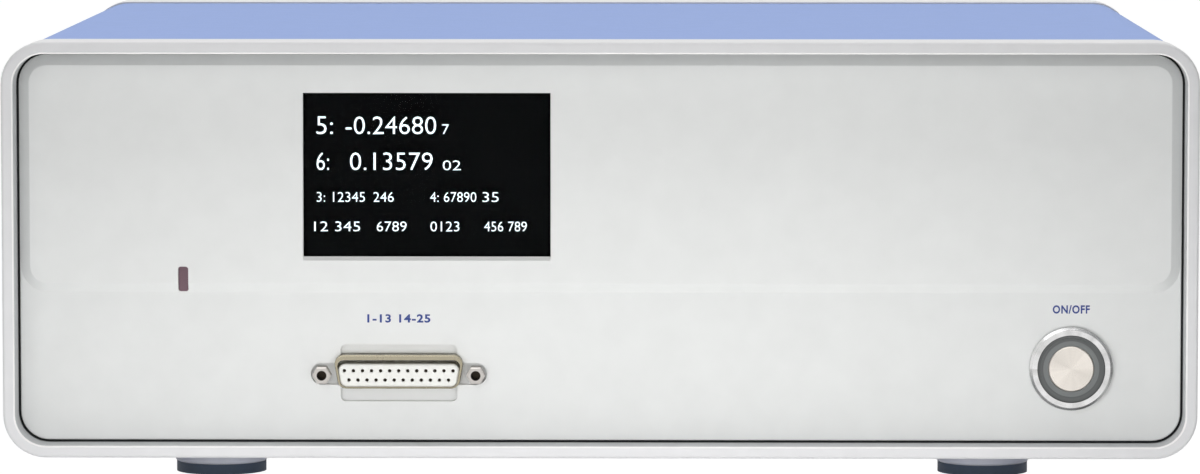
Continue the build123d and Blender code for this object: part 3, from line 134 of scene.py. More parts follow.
class LabelFinish(bpy.types.PropertyGroup):
    """The plain printed numbers and words on the front panel."""

    ink: colour("Ink", "Dark blue ink of the print", (0.016, 0.045, 0.235))
    print_height: length("Print height", "Height of the printed letters", 0.0026)
    print_thickness: length("Print thickness", "How far the ink stands on the paint", 0.00002)
    print_weight: number("Print weight", "Added to the strokes' width", 0.03)
    print_spacing: number("Print spacing", "Spread of the letters", 1.12)
    cell_width: length("Cell print width", "Width of the contact numbers over the connector", 0.0193)
    cell_height: length("Cell print place", "Height of the contact numbers above the bench", 0.0516)
    power_width: length("Power print width", "Width of the switch's print", 0.0113)
    power_height: length("Power print place", "Height of the switch's print above the bench", 0.0546)
    cell_text: StringProperty(
        name="Contact numbers", description="Numbers over the connector", default="1-13 14-25"
    )
    power_text: StringProperty(name="Switch print", description="Words over the button", default="ON/OFF")


class MetalFinish(bpy.types.PropertyGroup):
    """Bare and plated metal."""

    steel: colour("Steel", "Zinc plated steel", (0.56, 0.56, 0.55))
    polished: colour("Polished steel", "The button's ring and other bright metal", (0.84, 0.83, 0.82))
    jackscrew: colour("Jackscrews", "Duller nickel on the connector's screws", (0.60, 0.57, 0.54))
    cap: colour("Button cap", "The button's turned cap", (0.80, 0.75, 0.69))
    aluminium: colour("Aluminium", "Extruded aluminium", (0.70, 0.71, 0.72))
    anodised: colour("Anodised", "The heat sink's dark finish", (0.05, 0.05, 0.055))
    gold: colour("Gold", "Yellow chromate on the connector's shell", (0.43, 0.39, 0.29))
    # Painted shadow, near black, for the inside of a hole or a split mouth.
    painted_hole_shade: colour("Bore", "The dark inside of a bored or split piece", (0.035, 0.028, 0.022))
    brass: colour("Brass", "The earth stud", (0.72, 0.55, 0.27))
    steel_roughness: share("Steel roughness", "Roughness of plated steel", 0.32)
    polish: share("Polish", "Roughness of polished metal", 0.16)


class PlasticFinish(bpy.types.PropertyGroup):
    """Plastic, rubber and circuit boards."""

    black: colour("Black plastic", "Inlet, drawer, fan and switch", (0.022, 0.022, 0.024))
    foot: colour("Foot", "The feet's grey plastic", (0.78, 0.78, 0.82))
    rubber: colour("Rubber", "Pads and seals", (0.055, 0.075, 0.105))
    connector: colour("Connector face", "The cell connector's pale face", (0.86, 0.86, 0.82))
    plate: colour("Connector plate", "The plate behind the connector", (0.78, 0.79, 0.79))
    light_ring: colour("Light ring", "The button's tinted ring", (0.132, 0.139, 0.139))
    lens: colour("Status lens", "The status light's tinted lens", (0.175, 0.105, 0.128))
    board: colour("Circuit board", "Green solder mask", (0.012, 0.115, 0.045))
    relay: colour("Relay", "Pale relay cases", (0.62, 0.62, 0.57))
    sleeve: colour("Capacitor sleeve", "Dark blue sleeve", (0.015, 0.025, 0.10))
    tape: colour("Winding tape", "Yellow tape on the transformer", (0.62, 0.43, 0.05))
    ribbon: colour("Ribbon", "Grey ribbon cable", (0.30, 0.31, 0.33))
    fuse: colour("Fuse tube", "Glass of the fuse", (0.85, 0.88, 0.88))


class StageSettings(bpy.types.PropertyGroup):
    """Camera, lamps, floor and background."""

    camera_place: place("Camera", "Place of the camera", (0.02375, -1.9725, 0.2264))
    camera_aim: place("Aim", "Point that the camera looks at", (0.00016, -0.1525, 0.0776))
    lens: number("Lens", "Focal length in mm on a sensor 36 mm wide", 180.8, least=10)
    floor_size: length("Floor size", "Side of the square floor", 80.0)
    floor_colour: share("Floor", "Paleness of the floor", 0.92)
    floor_veil: share("Floor veil", "How far the floor fades to white in the picture", 0.94)
    floor_white: number("Floor white", "Strength of the white that the floor fades to", 1.07)
    front_gap: share("Front gap", "How dark the room behind the camera is in the gloss", 0.28)
    overhead_gap: share("Overhead gap", "How dark the gaps between the lit boxes overhead are", 0.6)
    gap_spacing: number("Gap spacing", "Width of one box and one gap overhead", 0.8, least=0.1)
    world_light: number("World light", "Light from all round", 0.05)
    top_place: place("Top lamp", "Place of the soft light above", (0.0, 0.05, 1.45))
    top_aim: place("Top aim", "Point that the soft light above faces", (0, 0, 0.1))
    top_light: number("Top light", "Watts of the soft light above", 20.0)
    front_place: place("Front lamp", "Place of the soft light in front", (-0.5, -2.0, 1.1))
    front_aim: place("Front aim", "Point that the soft light in front faces", (0, -0.15, 0.07))
    front_light: number("Front light", "Watts of the soft light in front", 10.6)
    low_place: place("Low lamp", "Place of the strip light low in front", (-0.012, -0.31, 0.019))
    low_aim: place("Low aim", "Point that the strip light low in front faces", (-0.012, -0.15, 0.019))
    low_light: number("Low light", "Watts of the strip light low in front", 0.195)


def add_node(tree, kind, inputs=None, **options):
    """A shader node with its options and input values set."""
    made = tree.nodes.new(kind)
    for key, value in options.items():
        setattr(made, key, value)
    for key, value in (inputs or {}).items():
        if isinstance(value, bpy.types.NodeSocket):
            tree.links.new(value, made.inputs[key])
        else:
            made.inputs[key].default_value = value
    return made


def maths(tree, operation, *values):
    """The result of a sum on numbers and sockets."""
    return add_node(tree, "ShaderNodeMath", dict(enumerate(values)), operation=operation).outputs[0]


def vectors(tree, operation, *values):
    """The result of a sum on vectors: a number for a length, and a vector for the rest."""
    made = add_node(tree, "ShaderNodeVectorMath", dict(enumerate(values)), operation=operation)
    return made.outputs["Value" if operation == "LENGTH" else "Vector"]


def mapped(tree, value, start, end, low=0.0, high=1.0, **options):
    """A value mapped from one range to another, and kept inside it."""
    ranges = {"Value": value, "From Min": start, "From Max": end, "To Min": low, "To Max": high}
    return add_node(tree, "ShaderNodeMapRange", ranges, **options).outputs["Result"]


def mixed(tree, fac, first, second):
    """A colour that runs from the first to the second with a factor."""
    ends = [end if isinstance(end, bpy.types.NodeSocket) else (*end, 1) for end in (first, second)]
    return add_node(tree, "ShaderNodeMix", {0: fac, 6: ends[0], 7: ends[1]}, data_type="RGBA").outputs[2]


def axes(tree, vector):
    """The three numbers of a vector, by the names X, Y and Z."""
    return add_node(tree, "ShaderNodeSeparateXYZ", {0: vector}).outputs


def vector_of(tree, **parts):
    """A vector made of the numbers given by axis."""
    return add_node(tree, "ShaderNodeCombineXYZ", parts).outputs[0]


def own_place(tree):
    """The coordinates of the piece that wears the material."""
    return add_node(tree, "ShaderNodeTexCoord").outputs["Object"]


def new_finish(name, base, roughness, metallic=0.0, **sockets):
    """A material with one shader, and the coordinates of the piece that wears it."""
    material = bpy.data.materials.new(name)
    material.use_nodes = True
    tree = material.node_tree
    shader = tree.nodes["Principled BSDF"]
    shader.inputs["Base Color"].default_value = (*base, 1)
    shader.inputs["Roughness"].default_value = roughness
    shader.inputs["Metallic"].default_value = metallic
    for key, value in sockets.items():
        shader.inputs[key.replace("_", " ")].default_value = value
    material.diffuse_color = (*base, 1)
    return material, tree, shader, own_place(tree)


def stretched(tree, spot, scale, centre=(0, 0, 0)):
    """Coordinates measured from a centre and scaled along each axis."""
    return vectors(tree, "MULTIPLY", vectors(tree, "SUBTRACT", spot, centre), scale)


def noise(tree, spot, width, detail=2.0):
    """Noise whose features are about as wide as given."""
    inputs = {"Vector": spot, "Scale": 1 / width, "Detail": detail}
    return add_node(tree, "ShaderNodeTexNoise", inputs).outputs["Fac"]


def bump(tree, shader, height, depth, below=None):
    """Relief on a shader: height from 0 to 1 stands for a depth in metres."""
    inputs = {"Height": height, "Distance": depth, "Strength": 1.0}
    if below is not None:
        inputs["Normal"] = below
    made = add_node(tree, "ShaderNodeBump", inputs)
    tree.links.new(made.outputs["Normal"], shader.inputs["Normal"])
    return made.outputs["Normal"]


def toned(tree, shader, fac, first, second):
    """The base colour runs from the first to the second with a factor."""
    tree.links.new(mixed(tree, fac, first, second), shader.inputs["Base Color"])


def drift(tree, shader, base, fac, amount):
    """The base colour drifts up and down by an amount with a factor."""
    toned(tree, shader, fac, [c * (1 - amount) for c in base], [min(c * (1 + amount), 1) for c in base])


def spread(tree, shader, fac, middle, reach=0.05):
    """The roughness runs to both sides of a middle with a factor."""
    result = mapped(tree, fac, 0.3, 0.7, max(middle - reach, 0.02), min(middle + reach, 1))
    tree.links.new(result, shader.inputs["Roughness"])


def dress(material, *names):
    """CAD nodes or pieces wear a material."""
    for name in names:
        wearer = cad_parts[name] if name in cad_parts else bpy.data.objects[name]
        wearer.data.materials.clear()
        wearer.data.materials.append(material)


def paint(name, base, gloss=0.4, matt=0.0):
    """Satin paint on metal: fine grain over a slow ripple, with a faint drift of shade."""
    case = bpy.context.scene.case_finish
    roughness = case.roughness + matt
    material, tree, shader, spot = new_finish(name, base, roughness, Specular_IOR_Level=gloss)
    slow = noise(tree, spot, case.ripple)
    fine = noise(tree, spot, case.grain, detail=3)
    under = bump(tree, shader, slow, case.ripple_depth)
    bump(tree, shader, fine, case.grain_depth, under)
    drift(tree, shader, base, slow, case.mottle)
    spread(tree, shader, fine, roughness, 0.06)
    return material


def moulded(name, base, roughness=0.5, grain=0.0004, depth=0.000008, **sockets):
    """Moulded plastic or rubber with a fine even texture."""
    material, tree, shader, spot = new_finish(name, base, roughness, **sockets)
    fine = noise(tree, spot, grain)
    bump(tree, shader, fine, depth)
    drift(tree, shader, base, noise(tree, spot, grain * 12), 0.05)
    spread(tree, shader, fine, roughness, 0.08)
    return material


def metal(name, base, roughness, grain=0.0003, depth=0.000002):
    """Plated or polished metal with faint marks."""
    material, tree, shader, spot = new_finish(name, base, roughness, metallic=1.0)
    fine = noise(tree, spot, grain, detail=4)
    bump(tree, shader, fine, depth)
    drift(tree, shader, base, noise(tree, spot, grain * 25), 0.05)
    spread(tree, shader, fine, roughness)
    return material


def drawn(name, base, roughness, along="X", width=0.00012, depth=0.0000025):
    """Metal drawn or brushed along one axis."""
    material, tree, shader, spot = new_finish(name, base, roughness, metallic=1.0)
    scale = [0.01 if axis == along else 1.0 for axis in "XYZ"]
    lines = noise(tree, stretched(tree, spot, scale), width, detail=3)
    bump(tree, shader, lines, depth)
    drift(tree, shader, base, lines, 0.06)
    spread(tree, shader, lines, roughness, 0.07)
    return material


def turned(name, base, roughness, centre, depth=0.0000028, painted_reflection_share=0.0, contrast=0.14):
    """Metal turned about an axis along Y: fine rings, and painted reflections as pale and dark wedges
    across them.
    """
    ring_width = 0.00022
    sector_angle = 0.35
    material, tree, shader, spot = new_finish(name, base, roughness, metallic=1.0, Anisotropic=0.75)
    flat = stretched(tree, spot, (1, 0, 1), centre)
    tree.links.new(vectors(tree, "CROSS_PRODUCT", flat, (0, 1, 0)), shader.inputs["Tangent"])
    lines = noise(tree, vector_of(tree, X=vectors(tree, "LENGTH", flat)), ring_width, detail=3)
    bump(tree, shader, lines, depth)
    across = axes(tree, flat)
    angle = maths(tree, "ARCTAN2", across["Z"], across["X"])
    # Painted reflection: pale and dark wedges by angle round the axis, mixed with the rings' own tone.
    painted_reflection_rays = noise(tree, vector_of(tree, X=angle, Y=lines), sector_angle)
    tone = add_node(tree, "ShaderNodeMix", {0: painted_reflection_share, 2: lines, 3: painted_reflection_rays}, data_type="FLOAT").outputs[0]
    drift(tree, shader, base, tone, contrast)
    spread(tree, shader, lines, roughness + 0.01, 0.07)
    return material


def clear_selection():
    """Nothing is selected and no piece is in edit mode."""
    if bpy.context.object and bpy.context.object.mode != "OBJECT":
        bpy.ops.object.mode_set(mode="OBJECT")
    bpy.ops.object.select_all(action="DESELECT")


def finish_piece(piece, name, body, material):
    """A new piece is named, dressed, and rides on its body."""
    piece.name = name
    piece.data.name = name
    dress(material, name)
    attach(piece, body)


def lettering(body_text, left, right, low, high, surface, thickness, weight=0.0, spacing=1.0):
    """Upright letters on a plane that faces the front, fitted between left and right, low and high."""
    clear_selection()
    bpy.ops.object.text_add(location=(0, 0, 0))
    letters = bpy.context.object
    letters.data.body = body_text
    letters.data.align_x = "LEFT"
    letters.data.size = 1.0
    letters.data.resolution_u = 3
    letters.data.extrude = 0.5
    letters.data.offset = weight
    letters.data.space_character = spacing
    bpy.ops.object.convert(target="MESH")
    letters = bpy.context.object
    xs = [v.co.x for v in letters.data.vertices]
    ys = [v.co.y for v in letters.data.vertices]
    wide = (right - left) / (max(xs) - min(xs))
    tall = (high - low) / (max(ys) - min(ys))
    letters.scale = (wide, tall, thickness)
    letters.rotation_euler = (math.radians(90), 0, 0)
    letters.location = (left - min(xs) * wide, surface, low - min(ys) * tall)
    bpy.ops.object.transform_apply(location=True, rotation=True, scale=True)
    return letters


def joined(pieces):
    """Several meshes made one."""
    clear_selection()
    for piece in pieces:
        piece.select_set(True)
    bpy.context.view_layer.objects.active = pieces[0]
    bpy.ops.object.join()
    return bpy.context.object


class POTENTIOSTAT_OT_stage(bpy.types.Operator):
    """Set the camera, the floor, the lamps and the background"""

    bl_idname = "potentiostat.stage"
    bl_label = "Stage"

    def execute(self, context):
        stage = context.scene.stage_settings
        self.camera(context, stage)
        self.floor(stage)
        self.world(context, stage)
        self.lamps(stage)
        context.scene.view_settings.view_transform = "Standard"
        return {"FINISHED"}

    def camera(self, context, stage):
        """The camera looks at the middle of the picture from in front and a little above."""
        clear_selection()
        bpy.ops.object.camera_add(location=stage.camera_place)
        camera = context.object
        camera.name = "camera"
        aim = Vector(stage.camera_aim) - Vector(stage.camera_place)
        camera.rotation_euler = aim.to_track_quat("-Z", "Y").to_euler()
        camera.data.sensor_width = 36
        camera.data.lens = stage.lens
        camera.data.clip_end = 200
        context.scene.camera = camera

    def floor(self, stage):
        """A pale floor that keeps the shadow and fades to white in the picture."""
        clear_selection()
        bpy.ops.mesh.primitive_plane_add(size=stage.floor_size, location=(0, 0, 0))
        floor = bpy.context.object
        floor.name = "floor"
        pale = (stage.floor_colour,) * 3
        material, tree, shader, _ = new_finish("floor", pale, 0.9)
        shader.inputs["Specular IOR Level"].default_value = 0.0
        white = add_node(tree, "ShaderNodeEmission", {"Color": (1, 1, 1, 1), "Strength": stage.floor_white})
        veil = maths(tree, "MULTIPLY", self.seen(tree), stage.floor_veil)
        mix = add_node(tree, "ShaderNodeMixShader", {0: veil, 1: shader.outputs[0], 2: white.outputs[0]})
        tree.links.new(mix.outputs[0], tree.nodes["Material Output"].inputs["Surface"])
        dress(material, "floor")

    def seen(self, tree):
        """1 for what the camera, a gloss or a clear piece shows, and 0 for light."""
        path = add_node(tree, "ShaderNodeLightPath").outputs
        plain = maths(tree, "MAXIMUM", path["Is Camera Ray"], path["Is Glossy Ray"])
        return maths(tree, "MAXIMUM", plain, path["Is Transmission Ray"])

    def world(self, context, stage):
        """White to the eye, a room with dark gaps in the gloss, and a softer light on the object."""
        world = bpy.data.worlds.new("white_room")
        world.use_nodes = True
        tree = world.node_tree
        background = tree.nodes["Background"]
        background.inputs["Color"].default_value = (1, 1, 1, 1)
        gloss = add_node(tree, "ShaderNodeLightPath").outputs["Is Glossy Ray"]
        lit = mapped(tree, self.seen(tree), 0, 1, stage.world_light, 1)
        dark = maths(tree, "MULTIPLY", gloss, self.gaps(tree, stage))
        tree.links.new(maths(tree, "SUBTRACT", lit, dark), background.inputs["Strength"])
        context.scene.world = world

    def gaps(self, tree, stage):
        """How dark the room is by direction: behind the camera, and between the boxes of light overhead."""
        way = axes(tree, add_node(tree, "ShaderNodeTexCoord").outputs["Generated"])
        front = mapped(tree, way["Y"], -0.6, -0.98, 0, stage.front_gap, interpolation_type="SMOOTHSTEP")
        above = mapped(tree, way["Z"], 0.3, 0.8, interpolation_type="SMOOTHSTEP")
        wave = maths(tree, "COSINE", maths(tree, "MULTIPLY", way["X"], math.tau / stage.gap_spacing))
        bars = mapped(tree, wave, 0.4, -1.0, 0, stage.overhead_gap)
        return maths(tree, "ADD", front, maths(tree, "MULTIPLY", above, bars))

    def lamps(self, stage):
        """Soft boxes above and in front, and a strip low in front that no gloss shows."""
        for name, spot, aim, width, height, watts in (
            ("top_light", stage.top_place, stage.top_aim, 2.3, 1.4, stage.top_light),
            ("front_light", stage.front_place, stage.front_aim, 1.6, 1.2, stage.front_light),
            ("low_light", stage.low_place, stage.low_aim, 0.40, 0.03, stage.low_light),
        ):
            clear_selection()
            bpy.ops.object.light_add(type="AREA", location=spot)
            lamp = bpy.context.object
            lamp.name = name
            lamp.data.shape = "RECTANGLE"
            lamp.data.size = width
            lamp.data.size_y = height
            lamp.data.energy = watts
            lamp.visible_camera = False
            lamp.visible_glossy = name != "low_light"
            lamp.rotation_euler = (Vector(aim) - Vector(spot)).to_track_quat("-Z", "Y").to_euler()


class POTENTIOSTAT_OT_case(bpy.types.Operator):
    """Paint the frames, the panels and the covers"""

    bl_idname = "potentiostat.case"
    bl_label = "Case"

    def execute(self, context):
        case = context.scene.case_finish
        metals = context.scene.metal_finish
        dress(self.frame_paint_with_painted_light(case), "front_frame", "rear_frame")
        dress(paint("panel_paint", case.panel_colour), "front_panel")
        cover = paint("cover_paint", case.cover_colour, case.cover_gloss, matt=0.15)
        dress(cover, "top_cover", "bottom_cover")
        dress(paint("rear_paint", case.rear_colour), "rear_panel")
        dress(drawn("rail_metal", metals.aluminium, 0.35, along="Y"), "tie_rails")
        return {"FINISHED"}

    def frame_paint_with_painted_light(self, case):
        """Paint with a painted highlight along the recess's bevel, painted shade down its walls, and a
        near-black painted shadow behind the panel's face.
        """
        material = paint("frame_paint", case.frame_colour)
        tree = material.node_tree
        base = tree.nodes["Principled BSDF"].inputs["Base Color"]
        coat = base.links[0].from_socket
        low, high = box_of("front_frame")
        half = (high - low) / 2
        corner = case.frame_corner
        spot = own_place(tree)
        folded = vectors(tree, "ABSOLUTE", stretched(tree, spot, (1, 0, 1), (low + high) / 2))
        beyond = vectors(tree, "SUBTRACT", folded, (half.x - corner, 0, half.z - corner))
        radius = vectors(tree, "LENGTH", vectors(tree, "MAXIMUM", beyond, (0, 0, 0)))
        within = maths(tree, "LESS_THAN", radius, corner - case.inner_side)
        depth = maths(tree, "SUBTRACT", -low.y, maths(tree, "ABSOLUTE", axes(tree, spot)["Y"]))
        # Painted light by depth into the recess: a painted highlight on the bevel, painted shade on the
        # walls, and a near-black painted shadow behind the panel's face.
        for start, tone in (
            (0.0, case.painted_highlight_colour),
            (case.painted_highlight_width, case.painted_shade_colour),
            (case.recess_depth, case.painted_shadow_colour),
        ):
            deeper = maths(tree, "GREATER_THAN", depth, start)
            coat = mixed(tree, maths(tree, "MULTIPLY", deeper, within), coat, tone)
        tree.links.new(coat, base)
        return material


class POTENTIOSTAT_OT_screen(bpy.types.Operator):
    """Make the screen's glass and its lit readings"""

    bl_idname = "potentiostat.screen"
    bl_label = "Screen"

    def execute(self, context):
        screen = context.scene.screen_finish
        material, tree, shader, spot = new_finish(
            "screen_glass", screen.glass_colour, 0.03, IOR=screen.glass_index, Transmission_Weight=1.0,
            Specular_IOR_Level=screen.reflection,
        )
        spread(tree, shader, noise(tree, spot, 0.004), 0.035, 0.015)
        dress(material, "screen_window")
        black = moulded(
            "display_black", screen.black_colour, 0.6, grain=0.0003, depth=0.000001,
            Specular_IOR_Level=screen.reflection,
        )
        dress(black, "screen_module")
        self.readings(screen)
        return {"FINISHED"}

    def readings(self, screen):
        """Four lines of plain digits: two large ones with small figures after them, and two small ones."""
        module_low, _ = box_of("screen_module")
        surface = module_low.y - screen.digit_thickness / 2
        low, _ = box_of("screen_window")
        left = low.x + screen.glass_edge
        bottom = low.z + screen.glass_edge
        first, second, third, fourth = (bottom + rise for rise in (0.0373, 0.0263, 0.0166, 0.0076))
        large = screen.digit_height
        small = large * 0.555
        lines = (
            (first, large, (("5:", 0.0040, 0.0090), ("-0.24680", 0.0129, 0.0405))),
            (first, small, (("7", 0.0423, 0.0444),)),
            (second, large, (("6:", 0.0040, 0.0078), ("0.13579", 0.0142, 0.0394))),
            (second, small, (("02", 0.0425, 0.0480),)),
            (third, small, (("3: 12345", 0.0040, 0.0187), ("246", 0.0213, 0.0275))),
            (third, small, (("4: 67890", 0.0386, 0.0527), ("35", 0.0546, 0.0595))),
            (fourth, small, (("12 345", 0.0032, 0.0172), ("6789", 0.0223, 0.0314))),
            (fourth, small, (("0123", 0.0387, 0.0475), ("456 789", 0.0551, 0.0681))),
        )
        groups = []
        for foot, tall, words in lines:
            for text, start, end in words:
                groups.append(
                    lettering(
                        text, left + start, left + end, foot, foot + tall, surface,
                        screen.digit_thickness, weight=screen.digit_weight,
                    )
                )
        readings = joined(groups)
        material, tree, shader, spot = new_finish("lit_digits", screen.digit_colour, 0.4)
        shader.inputs["Emission Color"].default_value = (*screen.digit_colour, 1)
        light = screen.digit_light
        glow = mapped(tree, noise(tree, spot, screen.digit_glow), 0, 1, light * 0.9, light)
        tree.links.new(glow, shader.inputs["Emission Strength"])
        finish_piece(readings, "screen_readings", "case", material)


class POTENTIOSTAT_OT_print(bpy.types.Operator):
    """Print the plain numbers and words on the front panel"""

    bl_idname = "potentiostat.print"
    bl_label = "Print"

    def execute(self, context):
        labels = context.scene.label_finish
        surface = self.panel_face()
        material, tree, shader, spot = new_finish("blue_ink", labels.ink, 0.5)
        drift(tree, shader, labels.ink, noise(tree, spot, 0.0003, detail=3), 0.12)
        for name, text, node, width, height in (
            ("cell_numbers", labels.cell_text, "connector_shell", labels.cell_width, labels.cell_height),
            ("switch_words", labels.power_text, "button_body", labels.power_width, labels.power_height),
        ):
            centre = middle_of(node).x
            tall = labels.print_height
            letters = lettering(
                text, centre - width / 2, centre + width / 2, height - tall / 2, height + tall / 2, surface,
                labels.print_thickness * 2, weight=labels.print_weight, spacing=labels.print_spacing,
            )
            finish_piece(letters, name, "case", material)
        return {"FINISHED"}

    def panel_face(self):
        """The depth of the panel's lower face, which the button's gasket lies on."""
        _, high = box_of("button_gasket")
        return high.y


class POTENTIOSTAT_OT_connector(bpy.types.Operator):
    """Finish the cell connector's shell, face, contacts and screws"""

    bl_idname = "potentiostat.connector"
    bl_label = "Cell connector"

    def execute(self, context):
        metals = context.scene.metal_finish
        plastics = context.scene.plastic_finish
        dress(metal("yellow_chromate", metals.gold, 0.24, grain=0.003), "connector_shell")
        dress(moulded("connector_face", plastics.connector, 0.38), "connector_insulator")
        dress(self.contact_gold(metals), "connector_contacts")
        dress(self.bored_nickel(metals), "connector_jackscrews")
        dress(paint("plate_paint", plastics.plate), "connector_plate")
        return {"FINISHED"}

    def contact_gold(self, metals):
        """Gilt contacts with painted shade, near black, in their split mouths."""
        mouth = 0.0006
        low, _ = box_of("connector_contacts")
        material, tree, shader, spot = new_finish("contact_gold", metals.gold, 0.3, metallic=1.0)
        # Painted shade: near black at the front of each contact, where its split mouth opens.
        inner = mapped(tree, axes(tree, spot)["Y"], low.y + mouth / 2, low.y + mouth)
        toned(tree, shader, inner, metals.painted_hole_shade, metals.gold)
        return material

    def bored_nickel(self, metals):
        """Plated screws with a near-black painted shadow down the middle of each, where the threaded hole
        is.
        """
        painted_hole_shade = 0.0015
        thread = 0.0006
        thread_depth = 0.00008
        low, high = box_of("connector_jackscrews")
        hexagon_reach = (high.z - low.z) / math.sqrt(3)
        reach = (high.x - low.x) / 2 - hexagon_reach
        material, tree, shader, spot = new_finish("jackscrew_nickel", metals.jackscrew, 0.28, metallic=1.0)
        way = axes(tree, stretched(tree, spot, (1, 1, 1), (low + high) / 2))
        across = maths(tree, "SUBTRACT", maths(tree, "ABSOLUTE", way["X"]), reach)
        radius = vectors(tree, "LENGTH", vector_of(tree, X=across, Z=way["Z"]))
        # Painted shadow: a near-black disc down each screw's middle, where the threaded hole is.
        outside = mapped(tree, radius, painted_hole_shade * 0.97, painted_hole_shade * 1.03)
        toned(tree, shader, outside, metals.painted_hole_shade, metals.jackscrew)
        groove = maths(tree, "SINE", maths(tree, "MULTIPLY", way["Y"], math.tau / thread))
        bump(tree, shader, groove, thread_depth)
        return material


class POTENTIOSTAT_OT_button(bpy.types.Operator):
    """Finish the power button and the status light"""

    bl_idname = "potentiostat.button"
    bl_label = "Button and light"

    def execute(self, context):
        metals = context.scene.metal_finish
        plastics = context.scene.plastic_finish
        centre = middle_of("button_body")
        # Both the ring and the cap carry painted reflections in pale and dark wedges; the ring's are
        # strongest.
        ring = turned(
            "button_ring", metals.polished, metals.polish, centre, depth=0.0000012, painted_reflection_share=0.85,
            contrast=0.5,
        )
        dress(ring, "button_body")
        dress(turned("button_cap", metals.cap, 0.30, centre, painted_reflection_share=0.7), "button_cap")
        dress(self.tinted_ring(plastics, centre), "button_light_ring")
        dress(moulded("status_lens", plastics.lens, 0.35, Specular_IOR_Level=0.3), "status_lens")
        dress(moulded("seal_rubber", plastics.rubber, 0.7), "button_gasket")
        dress(metal("nut_nickel", metals.steel, metals.steel_roughness), "button_nut", "button_spring")
        dress(moulded("switch_black", plastics.black, 0.45), "switch_block")
        return {"FINISHED"}

    def tinted_ring(self, plastics, centre):
        """Tinted plastic, paler at the step round the cap and dark at the rim."""
        material = moulded("light_ring", plastics.light_ring, 0.45, Specular_IOR_Level=0.25)
        tree = material.node_tree
        cap_low, _ = box_of("button_cap")
        ring_low, _ = box_of("button_light_ring")
        radius = vectors(tree, "LENGTH", stretched(tree, own_place(tree), (1, 0, 1), centre))
        across = mapped(tree, radius, centre.x - cap_low.x, centre.x - ring_low.x)
        ramp = add_node(tree, "ShaderNodeValToRGB", {"Fac": across})
        stops = ramp.color_ramp.elements
        tones = ((0.0, 1.5), (0.14, 1.45), (0.20, 0.8), (0.5, 1.1), (0.86, 0.95), (1.0, 0.45))
        for index, (spot, tone) in enumerate(tones):
            stop = stops[index] if index < 2 else stops.new(spot)
            stop.position = spot
            stop.color = (*(c * tone for c in plastics.light_ring), 1)
        tree.links.new(ramp.outputs["Color"], tree.nodes["Principled BSDF"].inputs["Base Color"])
        return material


class POTENTIOSTAT_OT_feet(bpy.types.Operator):
    """Finish the feet and their pads"""

    bl_idname = "potentiostat.feet"
    bl_label = "Feet"

    def execute(self, context):
        plastics = context.scene.plastic_finish
        sides = ("_left", "_right")
        feet = [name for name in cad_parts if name.startswith("foot_") and name.endswith(sides)]
        dress(moulded("foot_plastic", plastics.foot, 0.42), *feet)
        dress(moulded("pad_rubber", plastics.rubber, 0.65, depth=0.00002), "foot_pads")
        return {"FINISHED"}


class POTENTIOSTAT_OT_rear(bpy.types.Operator):
    """Finish what stands on the rear panel"""

    bl_idname = "potentiostat.rear"
    bl_label = "Rear fittings"

    def execute(self, context):
        metals = context.scene.metal_finish
        plastics = context.scene.plastic_finish
        black = moulded("fitting_black", plastics.black, 0.4)
        dress(black, "mains_inlet", "fuse_drawer", "fan_frame", "fan_rotor")
        dress(metal("blade_nickel", metals.polished, 0.2), "inlet_pins", "data_socket")
        dress(metal("guard_chrome", metals.polished, 0.15), "fan_guard")
        dress(metal("earth_brass", metals.brass, 0.25), "earth_nuts", "earth_stud")
        dress(self.fuse_glass(metals, plastics), "fuse")
        return {"FINISHED"}

    def fuse_glass(self, metals, plastics):
        """Clear glass between two plated caps."""
        cap = 0.005
        low, high = box_of("fuse")
        material, tree, shader, spot = new_finish("fuse_glass", plastics.fuse, 0.08)
        along = axes(tree, spot)["Y"]
        front = maths(tree, "LESS_THAN", along, low.y + cap)
        back = maths(tree, "GREATER_THAN", along, high.y - cap)
        ends = maths(tree, "ADD", front, back)
        toned(tree, shader, ends, plastics.fuse, metals.polished)
        tree.links.new(ends, shader.inputs["Metallic"])
        return material


class POTENTIOSTAT_OT_fasteners(bpy.types.Operator):
    """Finish the screws and nuts"""

    bl_idname = "potentiostat.fasteners"
    bl_label = "Fasteners"

    def execute(self, context):
        metals = context.scene.metal_finish
        zinc = metal("screw_zinc", metals.steel, metals.steel_roughness)
        dress(
            zinc, "cover_screws", "rear_screws", "rail_screws", "panel_nuts", "foot_screws", "fan_screws",
            "board_screws", "board_pillars", "screen_spacers", "transformer_washer", "transformer_bolt",
        )
        return {"FINISHED"}


